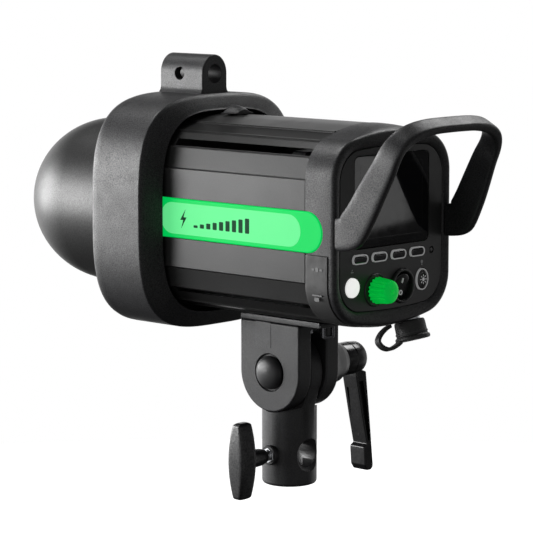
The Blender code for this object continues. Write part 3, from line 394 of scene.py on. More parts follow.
def settle(obj):
    """Replaces the mesh by what its modifiers make of it."""
    evaluated = obj.evaluated_get(bpy.context.evaluated_depsgraph_get())
    mesh = bpy.data.meshes.new_from_object(evaluated)
    obj.modifiers.clear()
    obj.data = mesh


def combine(obj, bm, operation="DIFFERENCE"):
    """An exact Boolean with a temporary body."""
    tool = shape("tool", bm)
    modifier = obj.modifiers.new("combine", "BOOLEAN")
    modifier.object = tool
    modifier.operation = operation
    modifier.solver = "EXACT"
    settle(obj)
    bpy.data.objects.remove(tool)


def absorb(obj, other):
    """Joins another piece to this one."""
    union = bmesh.new()
    union.from_mesh(other.data)
    bpy.data.objects.remove(other)
    combine(obj, union, "UNION")


def layer(outline, y):
    """A flat outline as points at a depth."""
    return [(a, y, b) for a, b in outline]


def soften(obj, width, segments=3, angle=30):
    """Rounds the edges."""
    modifier = obj.modifiers.new("soften", "BEVEL")
    modifier.width = width
    modifier.segments = segments
    modifier.limit_method = "ANGLE"
    modifier.angle_limit = math.radians(angle)
    modifier.use_clamp_overlap = True
    modifier.miter_outer = "MITER_ARC"
    settle(obj)


def dress(obj, body, material, replaces=(), sharp=38):
    """Shading, finish, and the CAD body that the piece moves with."""
    mesh = obj.data
    mesh.materials.clear()
    mesh.materials.append(MATERIALS[material])
    mesh.shade_smooth()
    mesh.set_sharp_from_angle(angle=math.radians(sharp))
    weighted = obj.modifiers.new("weighted", "WEIGHTED_NORMAL")
    weighted.keep_sharp = True
    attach(obj, body)
    if replaces:
        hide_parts(*replaces)
    return obj


# --------------------------------------------------------------------- stand
def swung_ear(turn):
    """The upper part of an ear's outline, tilted about the pivot, with clearance."""
    half, top = EAR_R + 0.0006, YOKE_TOP - PIVOT_Z + 0.0006
    c, s = math.cos(turn), math.sin(turn)
    return [(y * c - z * s, PIVOT_Z + y * s + z * c) for y, z in ((-half, 0), (half, 0), (half, top),
            (-half, top))]


def build_stand_socket():
    """Barrel with bore, threaded cross hole and screw boss, and the tongue."""
    profile = [(0, 0), (0.0148, 0), (0.0157, 0.0004), (0.0163, 0.0012), (BARREL_R, 0.0020),
            (BARREL_R, BARREL_TOP - 0.0011), (0.0162, BARREL_TOP - 0.0004), (0.0154, BARREL_TOP),
            (0, BARREL_TOP)]
    socket = shape("socket_body", turned(profile, (0, 0, 0), (0, 0, 1), 96))
    for sign in (1, -1):
        start = Vector((sign * (TONGUE_HALF + 0.0002), 0, PIVOT_Z))
        combine(socket, rod(EAR_R + 0.0006, start, start + Vector((sign * 0.03, 0, 0)), 96))
        for turn in (TILT_RELIEF, -TILT_RELIEF):
            combine(socket, prism(swung_ear(math.radians(turn)), "YZ", start.x, start.x + sign * 0.03))
    outline = [(TONGUE_R * math.cos(a), PIVOT_Z + TONGUE_R * math.sin(a))
               for a in [math.radians(-28 + 236 * i / 60) for i in range(61)]]
    outline += [(-0.0150, 0.0440), (-0.0156, 0.0400), (0.0156, 0.0400), (0.0150, 0.0440)]
    tongue = shape("tongue", prism(outline, "YZ", -TONGUE_HALF, TONGUE_HALF))
    soften(tongue, 0.0009, 3, 50)
    absorb(socket, tongue)
    boss = [(0, 0), (0.0064, 0), (0.0060, 0.0040), (0.0060, 0.0064), (0.0055, 0.0070), (0, 0.0070)]
    combine(socket, turned(boss, (0.0120, 0, TEE_Z), (1, 0, 0), 48), "UNION")
    combine(socket, turned([(0, -0.01), (0.0093, -0.01), (0.0093, 0.0), (SPIGOT_R, 0.0012), (SPIGOT_R, 0.040),
                            (0, 0.040)], (0, 0, 0), (0, 0, 1), 64))
    cross = [(0, -0.03), (0.0100, -0.03), (0.0100, -0.0152), (SPIGOT_R, -0.0137), (SPIGOT_R, 0.0137),
             (0.0100, 0.0152), (0.0100, 0.03), (0, 0.03)]
    combine(socket, turned(cross, (0, 0, CROSS_Z), (0, 1, 0), 64))
    combine(socket, rod(0.0036, (0.004, 0, TEE_Z), (0.025, 0, TEE_Z), 32))
    combine(socket, rod(BOLT_R + GAP, (-0.02, 0, PIVOT_Z), (0.02, 0, PIVOT_Z), 32))
    dress(socket, "stand", "cast", ["stand_socket"])
    for name, y in (("cross_thread_rear", 0.0090), ("cross_thread_front", -0.0142)):
        ridge = shape(name, thread(SPIGOT_R + 0.0004, -0.0006, 0.0010, (0, y, CROSS_Z), (0, 1, 0), 4.6))
        dress(ridge, "stand", "cast")
    nut = [(0.0036, 0), (0.0049, 0), (0.0049, 0.0012), (0.0045, 0.0016), (0.0036, 0.0016)]
    dress(shape("boss_insert", turned(nut, (0.0176, 0, TEE_Z), (1, 0, 0), 6)), "stand", "steel",
            sharp=20)


def build_tee_screw():
    """Tee wing with a crowned section, its neck, steel core and thread."""
    wing_in, wing_out, half = 0.0346, 0.0479, 0.0230
    middle, half_x = (wing_in + wing_out) / 2, (wing_out - wing_in) / 2
    rings = []
    steps = 36
    for i in range(steps + 1):
        along = math.sin(math.pi * (i / steps - 0.5))
        end = max(0.0, (abs(along) - 0.93) / 0.07)
        deep = (1 - 0.20 * along ** 2) * math.sqrt(max(0.0, 1 - 0.70 * end ** 2.2))
        wide = (1 - 0.56 * along ** 2) * math.sqrt(max(0.0, 1 - 0.72 * end ** 2.2))
        row = []
        for k in range(40):
            a = 2 * math.pi * k / 40
            c, s = math.cos(a), math.sin(a)
            row.append((middle + half_x * deep * math.copysign(abs(c) ** 0.36, c),
                        0.0064 * wide * math.copysign(abs(s) ** 0.36, s), TEE_Z + along * half))
        rings.append(row)
    wing = shape("tee_grip", loft(rings))
    neck = [(0, 0), (0.0038, 0), (0.0043, 0.0005), (0.0052, 0.0040), (0.0054, 0.0085), (0.0060, 0.0125),
            (0.0062, 0.0150), (0, 0.0150)]
    combine(wing, turned(neck, (0.0226, 0, TEE_Z), (1, 0, 0), 48), "UNION")
    dress(wing, "tee", "knob_black", ["tee_wing"])
    core = shape("tee_core", rod(0.0026, (0.0102, 0, TEE_Z), (0.0228, 0, TEE_Z), 32))
    dress(core, "tee", "steel", ["tee_screw"])
    ridge = shape("tee_thread", thread(0.0031, 0.0006, 0.0010, (0.0112, 0, TEE_Z), (1, 0, 0), 10.8))
    dress(ridge, "tee", "steel")


# ---------------------------------------------------------------------- yoke
def build_yoke():
    """Cast yoke with rounded ears, its base plate and cable eye."""
    outline = [(-EAR_R, YOKE_TOP - 0.0001), (-EAR_R, PIVOT_Z)]
    outline += [(EAR_R * math.cos(a), PIVOT_Z + EAR_R * math.sin(a))
                for a in [math.pi + math.pi * i / 60 for i in range(1, 60)]]
    outline += [(EAR_R, PIVOT_Z), (EAR_R, YOKE_TOP - 0.0001)]
    yoke = shape("yoke_body", prism(outline, "YZ", -EAR_OUT, EAR_OUT))
    combine(yoke, box((-EAR_IN, -0.04, 0.02), (EAR_IN, 0.04, SLOT_TOP)))
    soften(yoke, 0.0010, 3, 50)
    combine(yoke, rod(BOLT_R + GAP, (-0.03, 0, PIVOT_Z), (0.03, 0, PIVOT_Z), 32))
    recess = [(0, 0), (0.0109, 0), (0.0111, 0.0009), (0.0124, 0.0021), (0, 0.0021)]
    combine(yoke, turned(recess, (EAR_OUT - 0.0014, 0, PIVOT_Z), (1, 0, 0), 72))
    rib = rounded_rectangle((-0.0112, 0.0835), (0.0012, 0.1010), 0.0010, 4)
    dress(yoke, "head", "cast", ["yoke_bracket"])
    band = shape("yoke_cast_band", prism(rib, "YZ", EAR_OUT - 0.0004, EAR_OUT + 0.00015))
    combine(band, box((0, -0.03, YOKE_TOP - 0.0001), (0.03, 0.03, 0.12)))
    soften(band, 0.0001, 2, 40)
    dress(band, "head", "cast")
    crown = [(EAR_OUT * (1 - i / 12),
            AXIS_Z - SHELL_H + 0.0055 * (EAR_OUT * (1 - i / 12) / 0.032) ** 2 - 2 * GAP) for i in range(25)]
    plate = shape("base_body", prism(crown + [(-EAR_OUT, YOKE_TOP + GAP), (EAR_OUT, YOKE_TOP + GAP)],
                                     "XZ", -EAR_R, 0.0400))
    soften(plate, 0.0006, 2, 50)
    dress(plate, "head", "cast", ["base_plate"])
    trim = shape("base_edge", prism(rounded_rectangle((-0.0176, 0.1001), (0.0176, 0.1012), 0.0004, 4), "XZ",
                                    0.0396, 0.0403))
    dress(trim, "head", "turned_black")
    outer = rounded_rectangle((-0.0050, 0.0905), (0.0050, 0.0989), 0.0014, 6)
    eye = shape("cable_eye", prism(outer, "XZ", 0.0295, 0.0315))
    combine(eye, prism(rounded_rectangle((-0.0032, 0.0922), (0.0032, 0.0970), 0.0008, 4), "XZ", 0.02, 0.04))
    soften(eye, 0.0004, 2, 40)
    dress(eye, "head", "dark_steel", ["safety_loop"])


def build_pivot():
    """Domed bolt, spacer cone and the adjustable clamping lever."""
    dome = [(0, 0)]
    for i in range(1, 15):
        a = math.radians(90 * i / 15)
        dome.append((0.00995 * math.sin(a), 0.0046 * (1 - math.cos(a))))
    dome += [(0.01005, 0.0046), (0.01005, 0.0051), (BOLT_R, 0.0051), (BOLT_R, 0.0724), (0, 0.0724)]
    bolt = shape("bolt_body", turned(dome, (0.0224, 0, PIVOT_Z), (-1, 0, 0), 72))
    dress(bolt, "head", "turned_black", ["pivot_bolt"])
    length = SPACER_END - EAR_OUT - GAP
    hole = BOLT_R + GAP
    cone = [(0.0184, 0), (0.0192, 0.0003), (0.0192, 0.0008), (0.0186, 0.0020), (0.0172, 0.0042),
            (0.0156, 0.0085), (0.0142, 0.0130), (0.0131, length - 0.0055), (0.0124, length - 0.0045),
            (0.0112, length - 0.0006), (0.0106, length), (hole, length), (hole, 0)]
    spacer = shape("spacer_cone", turned(cone, (-EAR_OUT - GAP, 0, PIVOT_Z), (-1, 0, 0), 80))
    dress(spacer, "head", "turned_black", ["cone_spacer"])

    pivot = (-SPACER_END - GAP, 0, PIVOT_Z)
    length = HUB_END - SPACER_END - GAP
    hub = [(0.0094, 0), (0.0100, 0.0004), (0.0102, 0.0010), (0.0102, 0.0078), (0.0099, 0.0082),
            (0.0099, 0.0086), (0.0102, 0.0090), (0.0101, 0.0120), (0.0098, length - 0.0020),
            (0.0090, length - 0.0006), (0.0082, length), (0.0049, length), (0.0049, 0.0133),
            (0.0026, 0.0133), (0.0026, 0.0117), (0.0066, 0.0117), (0.0066, 0)]
    lever = shape("lever_body", turned(hub, pivot, (-1, 0, 0), 64))
    arm = [(-0.0545, 0.0612), (-0.0545, 0.0570), (-0.0602, 0.0320), (-0.0646, 0.0140), (-0.0618, 0.0127),
           (-0.0618, 0.0100), (-0.0626, 0.0010), (-0.0650, -0.0025), (-0.0686, -0.0025), (-0.0703, -0.0012),
           (-0.0705, 0.0010), (-0.0672, 0.0300), (-0.0635, 0.0600), (-0.0600, 0.0612)]
    body = shape("arm", prism(arm, "XZ", -0.0059, 0.0059))
    soften(body, 0.0007, 3, 18)
    channel = [(-0.0560, 0.0545), (-0.0655, 0.0163), (-0.0672, 0.0163), (-0.0640, 0.0400), (-0.0606, 0.0545)]
    for sign in (1, -1):
        combine(body, prism(channel, "XZ", sign * 0.0042, sign * 0.0080))
    front = [(-0.0500, 0.0500), (-0.0500, 0.0180), (-0.0628, 0.0180), (-0.0571, 0.0500)]
    combine(body, prism(front, "XZ", -0.0038, 0.0038))
    absorb(lever, body)
    dress(lever, "lever", "lever_black", ["clamp_lever"])
    rib = shape("lever_rib", prism([(-0.0592, 0.0490), (-0.0632, 0.0190), (-0.0640, 0.0190),
            (-0.0606, 0.0490)], "XZ", -0.0006, 0.0006))
    dress(rib, "lever", "lever_black")


# -------------------------------------------------------------------- collar
def squircle(half_w, half_h, power, y, count=176):
    points = []
    for i in range(count):
        a = 2 * math.pi * i / count
        c, s = math.cos(a), math.sin(a)
        points.append((math.copysign(abs(c) ** (2 / power), c) * half_w, y,
                       AXIS_Z + math.copysign(abs(s) ** (2 / power), s) * half_h))
    return points


def build_collar():
    """Front ring with a crowned rear face and a bright inner lip."""
    outer = [(0.0160, COLLAR_FRONT + 0.0002), (0.0060, COLLAR_FRONT), (0.0036, COLLAR_FRONT + 0.0003),
            (0.0018, COLLAR_FRONT + 0.0011), (0.0007, COLLAR_FRONT + 0.0024),
            (0.0001, COLLAR_FRONT + 0.0046), (0.0, COLLAR_FRONT + 0.0080), (0.0, COLLAR_BACK - 0.0024),
            (0.0003, COLLAR_BACK - 0.0017), (0.0009, COLLAR_BACK - 0.0011)]
    rings = [squircle(COLLAR_W - inset, COLLAR_H - inset, COLLAR_POWER, y) for inset, y in outer]
    for share, rise in ((0.12, -0.0005), (0.25, 0.0003), (0.42, 0.0013), (0.60, 0.0023), (0.78, 0.0033),
                        (0.88, 0.0037), (0.93, 0.0042), (0.97, 0.0042), (1.0, 0.0036)):
        half_w = COLLAR_W - (COLLAR_W - MOUTH_W) * share
        half_h = COLLAR_H - (COLLAR_H - MOUTH_H) * share
        rings.append(squircle(half_w, half_h, COLLAR_POWER, COLLAR_BACK + rise))
    rings += [squircle(MOUTH_W, MOUTH_H, COLLAR_POWER, -0.0640), squircle(0.0535, 0.0550, 2.0, -0.0700),
              squircle(0.0535, 0.0535, 2.0, COLLAR_FRONT + 0.0010)]
    collar = shape("collar_ring", tube(rings))

    low = AXIS_Z + COLLAR_H - 0.0050
    half = [(ROD_HALF_W + 0.0030, low), (ROD_HALF_W + 0.0014, low + 0.0052),
            (ROD_HALF_W + 0.0004, low + 0.0066), (ROD_HALF_W, low + 0.0084)]
    arch = half + [(ROD_HALF_W * math.cos(a), ROD_Z + 0.0116 * math.sin(a))
                   for a in [math.pi * i / 36 for i in range(37)]]
    arch += [(-x, z) for x, z in reversed(half)]
    lug = shape("lug", prism(arch, "XZ", LUG_FRONT, LUG_BACK))
    soften(lug, 0.0008, 3, 50)
    absorb(collar, lug)
    bore = [(0, -0.05), (0.0068, -0.05), (0.0068, -0.0009), (ROD_R, 0.0), (ROD_R, 0.0363), (0.0068, 0.0372),
            (0.0068, 0.06), (0, 0.06)]
    combine(collar, turned(bore, (0, LUG_FRONT, ROD_Z), (0, 1, 0), 56))
    side = [(0, 0), (0.0039, 0), (0.0039, 0.0190), (0.0044, 0.0198), (0.0044, 0.03), (0, 0.03)]
    combine(collar, turned(side, (-0.0088, ROD_SCREW_Y, ROD_Z), (1, 0, 0), 40))
    combine(collar, rod(0.0039, (-0.02, ROD_SCREW_Y, ROD_Z), (0, ROD_SCREW_Y, ROD_Z), 40))
    dress(collar, "head", "satin", ["front_collar"])
    ridge = shape("rod_bore_thread", thread(ROD_R + 0.0003, -0.0005, 0.0012, (0, -0.0735, ROD_Z), (0, 1, 0),
            1.6, 40))
    dress(ridge, "head", "steel")


def build_rod_screw():
    """Knurled thumbscrew on the far side of the rod holder."""
    def knurl(a, r, h):
        return r - (0.00035 * (0.5 + 0.5 * math.cos(30 * a)) if r > 0.0065 else 0.0)
    grip = [(0, 0), (0.0026, 0), (0.0026, 0.0062), (0.0066, 0.0063), (0.0074, 0.0069), (0.0078, 0.0078),
            (0.0078, 0.0124), (0.0073, 0.0132), (0.0060, 0.0136), (0.0048, 0.0134), (0, 0.0134)]
    screw = shape("rod_knob_body", turned(grip, (-0.0088, ROD_SCREW_Y, ROD_Z), (-1, 0, 0), 120, knurl))
    dress(screw, "rod_knob", "knob_black", ["rod_thumbscrew"])


def build_dome():
    """Smoke-dark bullet dome over the flash tube."""
    skirt = -0.0720 - CAP_SPRING_Y
    wall = 0.0020
    steps = 32
    outer, inner = [(CAP_R, 0), (CAP_R, skirt)], [(CAP_R - wall, skirt), (CAP_R - wall, 0)]
    for i in range(1, steps):
        a = math.pi / 2 * i / steps
        outer.insert(0, (CAP_R * math.cos(a), -CAP_NOSE * math.sin(a)))
        inner.append(((CAP_R - wall) * math.cos(a), -(CAP_NOSE - wall) * math.sin(a)))
    profile = [(0, -CAP_NOSE)] + outer + inner + [(0, wall - CAP_NOSE)]
    dome = shape("dome_skin", turned(profile, (0, CAP_SPRING_Y, AXIS_Z), (0, 1, 0), 128))
    dress(dome, "dome", "dome", ["protective_dome"])
    bead = [(CAP_R + 0.0001, 0), (CAP_R + 0.0011, 0.0004), (CAP_R + 0.0014, 0.0012), (CAP_R + 0.0011, 0.0020),
            (CAP_R + 0.0001, 0.0024)]
    seal = shape("dome_bead", turned(bead, (0, COLLAR_FRONT - 0.0030, AXIS_Z), (0, 1, 0), 128))
    dress(seal, "dome", "rubber")


# --------------------------------------------------------------------- shell
def shell_outline():
    """Section of the mid shell: flat side panel, shingled facets, thin ribs."""
    quadrant = [(0.0517, 0.0292), (0.0503, 0.0297), (0.0476, 0.0417), (0.0462, 0.0423),
                (0.0395, 0.0499), (0.0390, 0.0511), (0.0374, 0.0512), (0.0268, 0.0545),
                (0.0262, 0.0556), (0.0244, 0.0556), (0.0130, 0.0579)]
    top = quadrant + [(0, SHELL_H)] + [(-x, z) for x, z in reversed(quadrant)]
    return top + [(-x, -z) for x, z in top]


def lens_outline(grow=0.0, count=28):
    half = LENS_HALF + grow
    front = -0.0585 - min(10 * grow, 0.004) if grow > 0 else -0.0585
    points = [(front, -half)]
    points += [(LENS_END_Y + half * math.cos(a), half * math.sin(a))
               for a in [-math.pi / 2 + math.pi * i / count for i in range(count + 1)]]
    points.append((front, half))
    return [(y, AXIS_Z + z) for y, z in points]


def build_shell():
    """Glossy extruded body with the recess for the side strips."""
    outline = [(x, AXIS_Z + z) for x, z in shell_outline()]
    shell = shape("shell_skin", prism(outline, "XZ", SHELL_FRONT, SEAM_Y - 0.0002))
    soften(shell, 0.00035, 2, 12)
    for sign in (1, -1):
        combine(shell, prism(lens_outline(GAP), "YZ", sign * STRIP_FLOOR, sign * 0.06))
    combine(shell, box((-0.0042, -0.0510, 0.2100), (0.0042, -0.0330, 0.2300)))
    combine(shell, box((-0.0460, -0.0500, 0.1160), (0.0460, 0.0580, 0.2070)))
    dress(shell, "head", "shell", ["mid_shell"], sharp=20)
    # The strip rims and cores carry a painted glow in their finishes.
    for side, sign in (("left", 1), ("right", -1)):
        rim = shape("strip_rim_" + side, prism(lens_outline(), "YZ", sign * 0.0501, sign * 0.05225))
        soften(rim, 0.0009, 4, 40)
        dress(rim, "head", "green", ["side_lens_" + side])
        plateau = rounded_rectangle((-0.0560, AXIS_Z - 0.0096), (0.0565, AXIS_Z + 0.0096), 0.0094)
        glow = shape("strip_core_" + side, prism(plateau, "YZ", sign * 0.0511, sign * STRIP_FACE))
        soften(glow, 0.0006, 4, 40)
        dress(glow, "head", "mint")
        build_strip_marks(side, sign)


def build_strip_marks(side, sign):
    """A bolt sign and a rising power scale in place of lettering."""
    face = sign * STRIP_FACE
    bolt = [(0.4, 1.0), (-0.55, -0.12), (-0.02, -0.12), (-0.38, -1.0), (0.58, 0.18), (0.04, 0.18)]
    outlines = []
    start = -0.0370 if sign > 0 else 0.0370
    step = 1 if sign > 0 else -1
    outlines.append([(start + step * 0.0046 * a, AXIS_Z + 0.0058 * b) for a, b in bolt])
    for i in range(9):
        y = start + step * (0.0085 + 0.0052 * i)
        top = -0.0030 + 0.0009 * i
        outlines.append(rounded_rectangle((min(y, y + step * 0.0033), AXIS_Z - 0.0045),
                                          (max(y, y + step * 0.0033), AXIS_Z + top), 0.0005, 3))
    for i, outline in enumerate(outlines):
        mark = shape("strip_mark_%s_%d" % (side, i), prism(outline, "YZ", face - sign * 0.0002,
                face + sign * 0.00006))
        dress(mark, "head", "strip_print")


def build_latch():
    """Arched thumb tab behind the collar."""
    top = AXIS_Z + SHELL_H
    arch = [(0.0105, 0.0001), (0.0088, 0.0009), (0.0070, 0.0021), (0.0050, 0.0035), (0.0030, 0.0046),
            (0.0012, 0.0051), (0, 0.0052)]
    arch += [(-x, z) for x, z in reversed(arch[:-1])]
    rings = []
    for y, scale, drop in ((-0.0465, 1.0, 0.0), (-0.0440, 1.0, 0.0), (-0.0400, 0.90, 0.0008),
            (-0.0370, 0.72, 0.0024)):
        row = [(x * scale, y, top + max(0.0006, z - drop * z / 0.0052)) for x, z in arch]
        rings.append(row + [(-0.0060 * scale, y, top + 0.0003), (0.0060 * scale, y, top + 0.0003)])
    latch = shape("latch_tab", loft(rings))
    soften(latch, 0.0004, 2, 40)
    combine(latch, box((-0.0035, -0.0440, top - 0.0060), (0.0035, -0.0400, top + 0.0010)), "UNION")
    dress(latch, "latch", "satin", ["release_latch"])


# -------------------------------------------------------------- rear housing
def crowned_section(half_w, half_h, corner, crown, y):
    """Flat sides, round corners, gently crowned top and bottom."""
    side = half_h - crown - corner
    quadrant = [(half_w, 0.3 * side), (half_w, 0.7 * side)]
    for angle in range(0, 81, 5):
        a = math.radians(angle)
        quadrant.append((half_w - corner + corner * math.cos(a), side + corner * math.sin(a)))
    x_end, z_end = quadrant[-1]
    for share in (0.86, 0.72, 0.58, 0.44, 0.30, 0.15):
        quadrant.append((x_end * share, half_h - (half_h - z_end) * share ** 2))
    top = quadrant + [(0, half_h)] + [(-x, z) for x, z in reversed(quadrant)]
    return [(x, y, AXIS_Z + z) for x, z in top + [(-x, -z) for x, z in top]]


def housing_section(y, offset=0.0):
    """The rear housing's section at a depth: it rounds off towards the panel."""
    share = max(0.0, (y - SEAM_Y) / (REAR_Y - SEAM_Y))
    fall = 1 - math.sqrt(max(0.0, 1 - share ** 2.6))
    half_w = SHELL_W + 0.0003 - 0.0008 * fall + offset
    half_h = SHELL_H - 0.0051 * fall + offset
    return crowned_section(half_w, half_h, 0.024 - 0.002 * fall + offset, 0.0055 - 0.0045 * fall, y)


def blend_rings(first, second, share, y):
    return [(a[0] + (b[0] - a[0]) * share, y, a[2] + (b[2] - a[2]) * share) for a, b in zip(first, second)]


def build_housing():
    """Rear cup, its broad crowned rim, the port cover and the hole for the connector."""
    front = SEAM_Y + 0.0002
    wall = [housing_section(y) for y in (front, 0.0640, 0.0680, 0.0710, 0.0735, 0.0755, 0.0770, 0.0781)]
    edge = housing_section(0.0788)
    lip = crowned_section(PANEL_W + GAP, PANEL_H + GAP, 0.0180, 0.0010, PANEL_FACE)
    rim = [blend_rings(edge, lip, share, y) for share, y in ((0.0, 0.0788), (0.035, 0.07955),
            (0.09, 0.08015), (0.18, 0.08055), (0.30, 0.08075), (0.45, 0.08070), (0.62, 0.08050),
            (0.80, 0.08010), (0.93, 0.07965), (1.0, 0.0792), (1.0, 0.0762))]
    inner = [housing_section(0.0735, -0.0022), housing_section(front, -0.0022)]
    housing = shape("housing_skin", tube(wall + rim + inner))
    for sign in (1, -1):
        combine(housing, prism(lens_outline(GAP), "YZ", sign * STRIP_FLOOR, sign * 0.06))
    combine(housing, cover_body(-0.0009, 0.0050, 0.0005, GAP))
    combine(housing, rod(0.0042, (0.0400, 0.0685, PORT_Z), (0.06, 0.0685, PORT_Z), 32))
    combine(housing, box((0.0400, 0.0637, AXIS_Z - 0.0375), (0.06, 0.0733, AXIS_Z - 0.0322)))
    combine(housing, rod(0.0078, INLET - INLET_AXIS * 0.012, INLET + INLET_AXIS * 0.010, 40))
    dress(housing, "head", "satin", ["rear_housing"], sharp=32)

    cover = shape("port_flap_body", cover_body(-0.0006, 0.0006, 0.0, 0.0))
    soften(cover, 0.0004, 2, 40)
    dress(cover, "port_flap", "rubber", ["port_cover"])
    build_port_marks()


def cover_body(inner_offset, outer_offset, grow, gap):
    """A plate that follows the housing's lower left side."""
    front, back = SEAM_Y + 0.0008 - 2 * gap, 0.0765 + grow
    sections = []
    for k in range(9):
        y = front + (back - front) * k / 8
        rows = []
        for offset in (inner_offset, outer_offset):
            section = housing_section(y, offset)
            picked = [Vector(p) for p in section if p[0] > 0.0205 - grow and p[2] < AXIS_Z - 0.0125]
            picked.sort(key=lambda p: math.atan2(p.z - AXIS_Z + 0.02, p.x - 0.01))
            end = picked[-1].copy()
            end.z = AXIS_Z - 0.0127 + grow
            rows.append(picked[:-1] + [end] if abs(picked[-1].z - end.z) < 0.001 else picked + [end])
        sections.append(rows[0] + rows[1][::-1])
    return loft(sections)


def build_port_marks():
    """Small raised signs for the ports, with no lettering."""
    x = SHELL_W + 0.0003 + 0.0006
    z = PORT_Z
    marks = [circle((0.0690, z), 0.0013, 20),
             rounded_rectangle((0.0651, z - 0.0006), (0.0670, z + 0.0006), 0.0003, 3),
             rounded_rectangle((0.0710, z - 0.0006), (0.0729, z + 0.0006), 0.0003, 3),
             rounded_rectangle((0.0655, z - 0.0150), (0.0725, z - 0.0142), 0.0003, 3),
             rounded_rectangle((0.0672, z - 0.0180), (0.0708, z - 0.0158), 0.0006, 3)]
    for i, outline in enumerate(marks):
        mark = shape("port_mark_%d" % i, prism(outline, "YZ", x - 0.0004, x + 0.0001))
        dress(mark, "port_flap", "sign_grey")


def build_connector():
    """Machined connector, its rubber dust cap and the tether strap."""
    inlet = [(0.0068, -0.0100), (0.0068, 0.0090), (0.0064, 0.0095), (0.0056, 0.0095), (0.0052, 0.0090),
             (0.0052, -0.0100)]
    dress(shape("inlet_body", turned(inlet, INLET, INLET_AXIS, 48)), "head", "aluminium", ["power_inlet"])
    cap = [(0, 0.0128), (0.0094, 0.0128), (0.0101, 0.0126), (0.0104, 0.0121), (0.0104, 0.0110),
            (0.0101, 0.0105), (0.0095, 0.0101), (0.0093, 0.0095), (0.0092, 0.0030), (0.0090, 0.0017),
            (0.0084, 0.0011), (0.0076, 0.0010), (0.0072, 0.0013), (0.0072, 0.0100), (0, 0.0100)]
    dress(shape("cap_body", turned(cap, INLET, INLET_AXIS, 72)), "inlet_cap", "rubber", ["dust_cap"])
    band = [(0.00925, 0.0078), (0.0096, 0.0080), (0.0096, 0.0090), (0.00925, 0.0092)]
    dress(shape("cap_bead", turned(band, INLET, INLET_AXIS, 72)), "inlet_cap", "rubber")
    route = [Vector(p) for p in ((-0.0106, 0.0690, 0.1008), (-0.0066, 0.0693, 0.0996),
            (-0.0014, 0.0700, 0.0970), (0.0018, 0.0710, 0.0935), (-0.0006, 0.0722, 0.0900),
            (-0.0052, 0.0734, 0.0884), (-0.0100, 0.0744, 0.0898), (-0.0136, 0.0750, 0.0918))]
    path = smooth_path(route, 8)
    rings = []
    for i, point in enumerate(path):
        ahead = (path[min(i + 1, len(path) - 1)] - path[max(i - 1, 0)]).normalized()
        across = Vector((0, math.cos(math.radians(17)), math.sin(math.radians(17))))
        across = (across - ahead * across.dot(ahead)).normalized()
        up = ahead.cross(across)
        rings.append([point + across * a * 0.0019 + up * b * 0.0010 for a, b in ((1, 0.4), (0.85, 1),
                (-0.85, 1), (-1, 0.4), (-1, -0.4), (-0.85, -1), (0.85, -1), (1, -0.4))])
    dress(shape("tether_strap", loft(rings)), "head", "rubber", ["cap_tether"])


# ------------------------------------------------------------- control panel
def build_panel():
    """Control plate with sunk openings for the display, keys, dial and rocker, and the display."""
    rings = [crowned_section(PANEL_W - inset, PANEL_H - inset, 0.0180, 0.0010, y)
             for y, inset in ((0.0768, 0), (PANEL_FACE - 0.0004, 0), (PANEL_FACE - 0.0001, 0.0001),
                              (PANEL_FACE, 0.0004))]
    panel = shape("panel_plate", loft(rings))
    before, behind = 0.0700, 0.0850
    window = rounded_rectangle((-WINDOW_W, WINDOW_LOW), (WINDOW_W, WINDOW_HIGH), 0.0040)
    combine(panel, prism(window, "XZ", before, behind))
    for x in KEY_X:
        outline = capsule((x, KEY_Z), KEY_HALF_W + 0.0006, KEY_HALF_H + 0.0006)
        combine(panel, prism(outline, "XZ", before, behind))
    for (x, z), radius in ((TEST, 0.0059), (DIAL, 0.0036), (ROCKER, 0.0103), (SENSOR, 0.0021)):
        combine(panel, prism(circle((x, z), radius), "XZ", before, behind))
    combine(panel, prism(ellipse(MODEL, 0.0057, 0.0068), "XZ", before, behind))
    soften(panel, 0.00025, 2, 50)
    dress(panel, "head", "panel", ["rear_panel"], sharp=30)

    low, high = (-WINDOW_W + 0.0004, WINDOW_LOW + 0.0004), (WINDOW_W - 0.0004, WINDOW_HIGH - 0.0004)
    glass = shape("display_pane", prism(rounded_rectangle(low, high, 0.0037), "XZ", 0.0772,
            PANEL_FACE - 0.0002))
    soften(glass, 0.0003, 2, 50)
    dress(glass, "head", "screen", ["display_window"])
    low, high = (low[0] + 0.0052, low[1] + 0.0050), (high[0] - 0.0052, high[1] - 0.0050)
    frame_ring = shape("display_mask", prism(rounded_rectangle(low, high, 0.0012, 4), "XZ",
                                             PANEL_FACE - 0.0003, PANEL_FACE - 0.00014))
    inner = rounded_rectangle((low[0] + 0.0003, low[1] + 0.0003), (high[0] - 0.0003, high[1] - 0.0003),
            0.0010, 4)
    combine(frame_ring, prism(inner, "XZ", 0.07, 0.09))
    dress(frame_ring, "head", "gloss")


def key_ring(name, outer, inner, body, front, back):
    """A light grey rim round a key, brightened by a painted glow."""
    rim = shape(name, prism(outer, "XZ", front, back))
    combine(rim, prism(inner, "XZ", front - 0.01, back + 0.01))
    soften(rim, 0.00018, 2, 50)
    dress(rim, body, "bezel")


